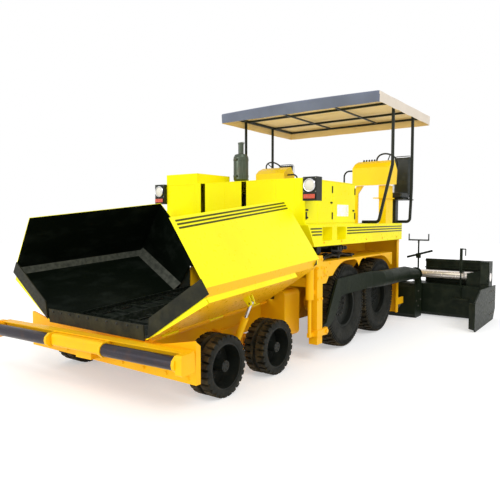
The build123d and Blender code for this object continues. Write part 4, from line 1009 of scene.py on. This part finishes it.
def vinyl(name, colour, shade):
    """Grained cover stuff: small pebbles over larger, softer dents."""
    material, tree, surface = shader(name)
    wear = remap(tree, noise(tree, 10.0, 6.0), 0.45, 0.75)
    feed(tree, surface, Base_Color=blend_colours(tree, wear, colour, shade), Roughness=0.46)
    pebbles = node(tree, "ShaderNodeTexVoronoi", Vector=place(tree), Scale=420.0)
    grain = math(tree, "ADD", pebbles.outputs["Distance"], noise(tree, 16.0, 3.0))
    bumped(tree, surface, grain, 0.25, 0.002)
    return material


SEAT_VINYL = vinyl("seat_vinyl", (0.014, 0.020, 0.017), (0.040, 0.046, 0.044))
one_seat = (seat_pad, back_pad, seat_welt(2.128), seat_welt(2.074), back_welt(-2.348), back_welt(-2.400))
pads = piece("seat_pads", mirrored(*one_seat), SEAT_VINYL, "chassis", 50.0)
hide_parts("seat_cushions")
print("seat pads:", len(pads.data.polygons), "faces")

# %% [markdown]
# Stripes and plates: three dark stripes run along the top of each hopper wing and along the deck's
# skirts. On the machine they are cut film. They could be painted in the wing's shader, but thin raised
# strips keep a crisp edge at any distance and follow the wing when it tips. The plate on the hood's
# side stays blank.

# %% Film and thin plates
def on_wing(u, v, w, side):
    """A point of the hopper wing's own frame, hinge axis at v = w = 0, in the machine's frame."""
    across = v * cos(WING_TIP) - w * sin(WING_TIP)
    up = v * sin(WING_TIP) + w * cos(WING_TIP)
    return Vector((HINGE_X + u * cos(HOPPER_TILT) + up * sin(HOPPER_TILT), side * (HINGE_Y + across),
                   HINGE_Z - u * sin(HOPPER_TILT) + up * cos(HOPPER_TILT)))


def slab(corners, outward, thick):
    """Thin plate on four corners, its edge drawn in a little at the outer face."""
    spots = [Vector(corner) for corner in corners]
    middle = sum(spots, Vector()) / 4
    out = Vector(outward).normalized() * thick
    vertices = [spot - out * 0.5 for spot in spots] + [spot + out * 0.7 for spot in spots]
    vertices += [spot + (middle - spot).normalized() * thick * 0.5 + out for spot in spots]
    return vertices, capped(3, 4)


def side_plate(x0, x1, z0, z1, y, thick):
    """Thin upright plate on a face that looks left."""
    return slab([(x0, y, z0), (x1, y, z0), (x1, y, z1), (x0, y, z1)], LEFT, thick)


def film(name, colour):
    """Flat film, rubbed lighter in patches."""
    material, tree, surface = shader(name)
    worn = remap(tree, noise(tree, 30.0, 5.0), 0.5, 0.8)
    rubbed = tuple(c * 1.8 + 0.01 for c in colour)
    feed(tree, surface, Base_Color=blend_colours(tree, worn, colour, rubbed), Roughness=0.42,
         Specular_IOR_Level=0.2)
    bumped(tree, surface, noise(tree, 60.0, 3.0), 0.06, 0.002)
    return material


STRIPE_FILM = film("stripe_film", (0.060, 0.065, 0.004))
PLATE_WHITE = film("plate_white", (0.95, 0.97, 0.90))
print("films:", STRIPE_FILM.name, PLATE_WHITE.name)

# %% Stripes and blank plate
FILM_THICK = 0.0014
WALL_FACE = 0.900
STRIPE_HALF, DECK_STRIPE_HALF = 0.0095, 0.009
FRONT_END, REAR_END = (-0.10, 0.767), (-1.955, 0.872)
for side_name, side in SIDES:
    outward = on_wing(0, 1, 0, side) - on_wing(0, 0, 0, side)
    stripes = []
    for below in (0.036, 0.073, 0.110):
        edges = ((FRONT_END, -1), (FRONT_END, 1), (REAR_END, 1), (REAR_END, -1))
        corners = [on_wing(u, WALL_FACE, top - below + up * STRIPE_HALF, side) for (u, top), up in edges]
        stripes.append(slab(corners, outward, FILM_THICK))
    piece("wing_stripes_" + side_name, joined(*stripes), STRIPE_FILM, "hopper_wing_" + side_name)

DECK_SIDE = 1.240
deck_stripes = []
for row, z in enumerate((1.528, 1.565, 1.602)):
    z0, z1 = z - DECK_STRIPE_HALF, z + DECK_STRIPE_HALF
    for x0, x1 in ((0.640, 0.880 + row * 0.022), (-2.140, -0.066)):
        deck_stripes.append(side_plate(x0, x1, z0, z1, DECK_SIDE, FILM_THICK))
piece("deck_stripes", mirrored(*deck_stripes), STRIPE_FILM, "chassis")
blank = side_plate(-0.278, 0.060, 1.756, 1.910, 1.154, 0.002)
piece("hood_plate", blank, PLATE_WHITE, "chassis")
print("stripes:", len(stripes), "on each wing,", len(deck_stripes), "pieces on each skirt")

# %% [markdown]
# Hood panels: the hood is closed by pressed doors on its sides and front and by two panels on top, with
# narrow gaps between them. The gaps could be cut into the hood, but thin panels laid on it give the
# same lines, and their chamfered edges catch the light.

# %% Hood panels
HOOD_SIDE, HOOD_FRONT = 1.150, 0.900
DOOR_LOW, DOOR_HIGH = 1.668, 2.196
doors = []
for x0, x1 in ((-0.485, 0.184), (0.198, 0.586), (0.600, 0.886)):
    doors.append(chamfered((x0, HOOD_SIDE - 0.004, DOOR_LOW), (x1, HOOD_SIDE + 0.0035, DOOR_HIGH), 0.003))
panels = doors + [flipped(door) for door in doors]
back, front = HOOD_FRONT - 0.004, HOOD_FRONT + 0.0035
for y0, y1 in ((-1.14, -0.60), (-0.40, -0.08), (-0.06, 0.18), (0.30, 0.716), (0.730, 1.003), (1.017, 1.14)):
    panels.append(chamfered((back, y0, DOOR_LOW), (front, y1, DOOR_HIGH), 0.003))
for x1, y0, y1 in ((0.15, -1.12, 0.30), (0.88, 0.32, 1.12)):
    panels.append(chamfered((-0.48, y0, 2.206), (x1, y1, 2.2135), 0.003))
piece("hood_panels", joined(*panels), YELLOW, "chassis")
print(len(panels), "hood panels")

# %% [markdown]
# Fasteners and fittings: bolt heads, hinges and latches are small, but a machine this size looks like a
# model without them. Each could be an object of its own, but a group of many heads in one mesh, riding
# on its own body, is lighter to load and moves just as well.

# %% Latches and hinges
ZINC = bare_steel("zinc_bolts", (0.24, 0.23, 0.20), 0.34, (1.0, 1.0, 1.0), 0.3)
DARK_BOLTS = painted("dark_bolts", (0.014, 0.016, 0.013), (0.03, 0.03, 0.026), 0.4,
                     (0.07, 0.06, 0.05), 0.5, 0.0, 0.25)
latches = []
plate = chamfered((-0.026, 0.0, -0.011), (0.026, 0.014, 0.011), 0.004)
lock = turned([(0.009, 0), (0.009, 0.010), (0.006, 0.013)], 16)
pin = turned([(0.010, 0), (0.010, 0.09)], 12)
for x, z in ((0.864, 1.827), (0.864, 1.737), (-0.437, 1.834), (0.230, 1.93)):
    latches.append(moved(plate, Matrix.Translation((x, HOOD_SIDE, z))))
    latches.append(standing(lock, (x + 0.012, HOOD_SIDE + 0.013, z), LEFT))
for x in (-0.478, 0.206, 0.878):
    for z in (1.76, 2.10):
        latches.append(moved(pin, Matrix.Translation((x, HOOD_SIDE + 0.006, z - 0.045))))
piece("hood_latches", mirrored(*latches), DARK_BOLTS, "chassis")
print("latches and hinges:", len(latches), "parts a side")

# %% Chassis bolts
def ring_of(centre, radius, count, first=0.0):
    """Spots spaced evenly round a line that runs across the machine."""
    x, y, z = centre
    angles = [2 * pi * i / count + first for i in range(count)]
    return [(x + radius * cos(angle), y, z + radius * sin(angle)) for angle in angles]


POST_HUB = (0.620, 1.280, 1.075)
hub_cap = turned([(0.042, 0), (0.042, 0.006), (0.030, 0.016), (0.012, 0.018)], 24)
post_spots = [(x, 1.330, z) for x in (0.80, 0.89) for z in (0.77, 1.02, 1.14, 1.24)]
bumper_spots = [(2.964, y, z) for y in (0.30, 0.60, 0.90, 1.17) for z in (0.32, 0.50)]
skirt_spots = [(x, DECK_SIDE, 1.43) for x in (-1.90, -1.30, -0.70, 0.10, 0.58)]
fender_spots = [(x, DECK_SIDE, 1.165) for x in (-1.68, -0.657, 0.42)]
chassis_bolts = bolts(post_spots, LEFT, 0.030, 0.013)
chassis_bolts += bolts(ring_of(POST_HUB, 0.060, 6), LEFT, 0.022, 0.010)
chassis_bolts.append(standing(hub_cap, POST_HUB, LEFT))
chassis_bolts += bolts(bumper_spots, FORWARD, 0.034, 0.015)
chassis_bolts += bolts(skirt_spots, LEFT, 0.020, 0.009) + bolts(fender_spots, LEFT, 0.022, 0.010)
piece("chassis_bolts", mirrored(*chassis_bolts), FRAME_YELLOW, "chassis")
print("chassis bolts:", 2 * len(chassis_bolts))

# %% Wheel nuts
FRONT_NUTS = ((8, 0.130, 1.0095, 0.0, 0.034, 0.020), (6, 0.038, 1.168, 0.3, 0.014, 0.008))
DRIVE_NUTS = ((12, 0.142, 1.1205, 0.0, 0.030, 0.020), (8, 0.048, 1.1248, 0.2, 0.018, 0.009))
for axle, rings in (("front", FRONT_NUTS), ("second", FRONT_NUTS), ("drive_front", DRIVE_NUTS),
                    ("drive_rear", DRIVE_NUTS)):
    for side_name, side in SIDES:
        name = axle + "_" + side_name
        low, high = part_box(name + "_rim")
        x, z = (low[0] + high[0]) / 2, (low[2] + high[2]) / 2
        nuts = []
        for count, radius, y, first, width, height in rings:
            nuts += bolts(ring_of((x, y, z), radius, count, first), LEFT, width, height)
        placed = on_side(joined(*nuts), side)
        piece(name + "_wheel_nuts", placed, DARK_BOLTS, name + "_wheel")
print("the last wheel has", len(nuts), "nuts and screws")

# %% [markdown]
# Lamps: each square housing holds a round lamp with a ribbed lens in a bright ring, and a red-orange
# marker under it. The ribs could be cut, but that takes far finer faces, so the lens is turned as a
# shallow dome and its ribs come from a wave in the shader.

# %% Lamp lenses and markers
def lens_finish(name, colour, glow, ribs):
    """Ribbed glass with a faint glow; ribs sets how close its lines stand."""
    material, tree, surface = shader(name)
    lines = math(tree, "SINE", math(tree, "MULTIPLY", axes(tree)[1], ribs))
    tone = remap(tree, math(tree, "ADD", lines, noise(tree, 40.0, 3.0)), -1.0, 2.0)
    glass = blend_colours(tree, tone, colour, tuple(c * 0.7 for c in colour))
    feed(tree, surface, Base_Color=glass, Emission_Color=glass, Emission_Strength=glow, Roughness=0.12)
    bumped(tree, surface, lines, 0.4, 0.003)
    return material


LENS = lens_finish("lamp_lens", (0.80, 0.78, 0.72), 0.12, 420.0)
MARKER = lens_finish("marker_lens", (0.62, 0.07, 0.02), 0.10, 300.0)
LAMP_SPOT = (0.960, 1.2425, 2.115)
lens = turned([(0.066, 0.0), (0.064, 0.006), (0.045, 0.013), (0.020, 0.016), (0.004, 0.017)], 48)
ring = turned([(0.066, 0.0), (0.078, 0.0), (0.079, 0.008), (0.074, 0.014), (0.067, 0.013)], 48, closed=True)
piece("lamp_lenses", mirrored(standing(lens, LAMP_SPOT, FORWARD)), LENS, "chassis")
piece("lamp_rings", mirrored(standing(ring, LAMP_SPOT, FORWARD)), CHROME, "chassis")
marker = chamfered((0.966, 1.166, 1.959), (0.974, 1.319, 2.011), 0.003)
piece("marker_lenses", mirrored(marker), MARKER, "chassis")
screws = bolts([(0.955, y, z) for y in (1.163, 1.322) for z in (2.04, 2.20)], FORWARD, 0.012, 0.006)
piece("lamp_screws", mirrored(*screws), ZINC, "chassis")
print("two lamps with rings, markers and", 2 * len(screws), "screws")

# %% [markdown]
# Drag chains: two chains pull the slats of each conveyor along the hopper floor. Their links are blocks,
# wide and narrow by turns, repeated at the chain's pitch. Real links with pins would be truer, but at
# this size only their rhythm shows. A row of bolts clamps the rubber strip at the hopper's front.

# %% Drag chains and strip bolts
LINKS, LINK_PITCH = 58, 0.0325
FLOOR_TURN = Matrix.Translation((HINGE_X, 0.0, FLOOR_Z)) @ Matrix.Rotation(HOPPER_TILT, 4, "Y")
links = []
for y in (0.115, 0.475):
    for i in range(LINKS):
        u = -0.100 - i * LINK_PITCH
        wide = 0.012 if i % 2 else 0.016
        links.append(chamfered((u - 0.0135, y - wide, 0.001), (u + 0.0135, y + wide, 0.014), 0.003))
piece("drag_chains", moved(mirrored(*links), FLOOR_TURN), SLAT_STEEL, "chassis")

front_x, _, strip_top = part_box("apron_flap")[1]
strip_spots = [(front_x - 0.002, y, strip_top - 0.028) for y in (0.07, 0.22, 0.37, 0.52, 0.66)]
flap_bolts = bolts(strip_spots, (1, 0, -0.06), 0.022, 0.009)
piece("apron_bolts", mirrored(*flap_bolts), DARK_BOLTS, "chassis")
print("drag chain blocks:", len(links) * 2, "and strip bolts:", len(flap_bolts) * 2)

# %% [markdown]
# Pipes and hoses held by clamps: pump lines run on top of the fenders under the deck, a steel line
# feeds each wing cylinder along the frame, and two lines climb each tow post. All are clamped rigid
# lines, so they're bent tube with clamp blocks, not free cords.

# %% Clamped lines
HOSE_BLACK = rubber("hose_black", (0.008, 0.008, 0.007), (0.03, 0.03, 0.025), 0.5, 20.0, 0.45)
PUMP_LINES = ((1.130, 1.218), (1.095, 1.224), (1.060, 1.216), (1.025, 1.226), (0.990, 1.218))
lines, clamps = [], []
for i, (y, z) in enumerate(PUMP_LINES):
    rise = 0.045 if i % 2 else 0.030
    lines.append(hose([(0.480, y, z), (0.30, y, z), (0.16, y + 0.012, z + rise), (0.02, y, z + 0.004),
                       (-0.16, y - 0.010, z + rise), (-0.30, y, z), (-0.52, y, z)], 0.013, 0.10, 10))
for y in (1.262, 1.294):
    lines.append(hose([(0.777, y, 1.10), (0.768, y, 1.04), (0.768, y, 0.80), (0.777, y, 0.75)],
                      0.008, 0.03, 8))
piece("clamped_hoses", mirrored(*lines), HOSE_BLACK, "chassis")
for x in (0.40, -0.02, -0.42):
    clamps.append(chamfered((x - 0.020, 0.968, 1.190), (x + 0.020, 1.152, 1.244), 0.005))
for z in (0.84, 1.00):
    clamps.append(chamfered((0.756, 1.248, z - 0.014), (0.782, 1.308, z + 0.014), 0.004))
piece("line_clamps", mirrored(*clamps), DARK_BOLTS, "chassis")
steel_line = hose([(2.72, 0.612, 0.600), (2.40, 0.612, 0.600), (2.12, 0.612, 0.560), (1.95, 0.612, 0.47),
                   (1.62, 0.612, 0.47), (1.30, 0.612, 0.50)], 0.0085, 0.08, 8)
frame_clamps = [chamfered((x - 0.012, 0.600, z - 0.014), (x + 0.012, 0.624, z + 0.014), 0.003)
                for x, z in ((2.55, 0.600), (1.80, 0.470), (1.45, 0.486))]
piece("steel_lines", mirrored(steel_line, *frame_clamps), FRAME_YELLOW, "chassis")
print("clamped lines:", len(lines) * 2, "hoses and two steel lines")

# %% [markdown]
# Silencer and consoles: the drum is banded by two straps and its pipe ends in a hinged rain flap. Each
# console carries a bank of five short levers, three dials and a row of six switches on its sloping
# face. They could be drawn on the desk, but turned knobs and levers throw small shadows of their own.

# %% Silencer bands
bands = []
for z in (2.345, 2.585):
    bands.append(turned([(0.110, z - 0.016), (0.1135, z - 0.014), (0.1135, z + 0.014), (0.110, z + 0.016)],
                        48, closed=True))
    bands.append(chamfered((0.106, -0.022, z - 0.013), (0.142, 0.022, z + 0.013), 0.004))
flange_angles = [2 * pi * i / 4 + 0.4 for i in range(4)]
flange_bolts = bolts([(0.048 * cos(a), 0.048 * sin(a), 2.222) for a in flange_angles], UP, 0.014, 0.008)
tip = turned([(0.034, 2.812), (0.043, 2.812), (0.044, 2.832), (0.036, 2.832)], 32, closed=True)
cap = moved(turned([(0.044, 0.0), (0.046, 0.003), (0.044, 0.006)], 32),
            Matrix.Translation((0.0, 0.0, 2.838)) @ Matrix.Rotation(radians(14), 4, "Y"))
hinge = moved(turned([(0.006, -0.030), (0.006, 0.030)], 12),
              Matrix.Translation((-0.047, 0.0, 2.836)) @ Matrix.Rotation(pi / 2, 4, "X"))
fittings = moved(joined(*bands, *flange_bolts, tip, cap, hinge), Matrix.Translation((0.150, -0.370, 0.0)))
piece("silencer_bands", fittings, SILENCER_STEEL, "chassis")
print("silencer: two bands, four flange bolts and a rain flap")

# %% Console fittings
desk = Matrix.Translation((-1.755, 0.0, 2.552)) @ Matrix.Rotation(-radians(30.96), 4, "Y")
lever = turned([(0.015, -0.006), (0.015, 0.004), (0.006, 0.010), (0.0045, 0.095)], 14)
knob = turned([(0.005, 0.088), (0.013, 0.096), (0.016, 0.110), (0.012, 0.124), (0.003, 0.130)], 16)
dial = turned([(0.026, -0.004), (0.031, -0.004), (0.031, 0.007), (0.026, 0.007)], 28, closed=True)
dial_face = turned([(0.0265, -0.004), (0.0265, 0.003), (0.010, 0.0045)], 28)
lever_spots = [desk @ Matrix.Translation((0.045, 0.720 + i * 0.046, 0.0)) for i in range(5)]
dial_spots = [desk @ Matrix.Translation((-0.045, 0.735 + i * 0.075, 0.0)) for i in range(3)]
switch_spots = [desk @ Matrix.Translation((0.075, 0.965 + i * 0.030, 0.0)) for i in range(6)]
switch = chamfered((-0.010, -0.010, -0.004), (0.012, 0.010, 0.007), 0.002)
black = [moved(knob, spot) for spot in lever_spots] + [moved(dial, spot) for spot in dial_spots]
black += [moved(switch, spot) for spot in switch_spots]
levers = [moved(lever, spot) for spot in lever_spots]
piece("console_levers", mirrored(*levers), CHROME, "chassis")
piece("console_knobs", mirrored(*black), DARK_BOLTS, "chassis")
dial_faces = [moved(dial_face, spot) for spot in dial_spots]
piece("console_dials", mirrored(*dial_faces), PLATE_WHITE, "chassis")
print("console:", len(levers), "levers,", len(dial_faces), "dials,", len(switch_spots), "switches a side")

# %% [markdown]
# Screed: bolt heads on its boxes and end plates, and a raised tread on the walkway. They ride on the
# screed; the bolts of each extension ride on that extension, so they slide out with it. The tread could
# be a pattern in the shader, but raised bars stay visible at the walkway's low angle.

# %% Screed fittings
screed_bolts = bolts([(x, y, 0.600) for x in (-2.86, -2.60) for y in (0.25, 0.60, 0.95, 1.25)],
                     UP, 0.022, 0.010)
screed_bolts += bolts([(-2.900, y, z) for z in (0.10, 0.48) for y in (0.20, 0.55, 0.90, 1.22)],
                      BACK, 0.022, 0.010)
END_PLATE = ((-2.62, 0.30), (-2.72, 0.20), (-2.83, 0.30), (-2.72, 0.46), (-2.60, 0.72), (-2.72, 0.78))
screed_bolts += bolts([(x, 1.350, z) for x, z in END_PLATE], LEFT, 0.026, 0.012)
piece("screed_bolts", mirrored(*screed_bolts), ZINC, "screed")
bar = chamfered((-0.016, -0.0028, 0.0), (0.016, 0.0028, 0.0022), 0.0010)
tread = []
for i in range(26):
    for j in range(3):
        spot = Matrix.Translation((-2.845 + j * 0.10, 0.03 + i * 0.040, 0.685))
        tread.append(moved(bar, spot @ Matrix.Rotation(radians(45 if (i + j) % 2 else -45), 4, "Z")))
piece("walkway_tread", mirrored(*tread), SCREED_BLACK, "screed")
end_spots = [(x, 2.455, z) for z in (0.12, 0.32, 0.50) for x in (-3.30, -3.15, -3.02)]
rear_spots = [(-3.360, y, z) for y in (1.30, 1.62, 1.94, 2.20) for z in (0.10, 0.50)]
extension = joined(*bolts(end_spots, LEFT, 0.024, 0.011), *bolts(rear_spots, BACK, 0.022, 0.010))
for side_name, side in SIDES:
    piece("extension_bolts_" + side_name, on_side(extension, side), ZINC,
          "screed_extension_" + side_name)
print("screed bolts:", len(screed_bolts) * 2, "and tread bars:", len(tread) * 2)
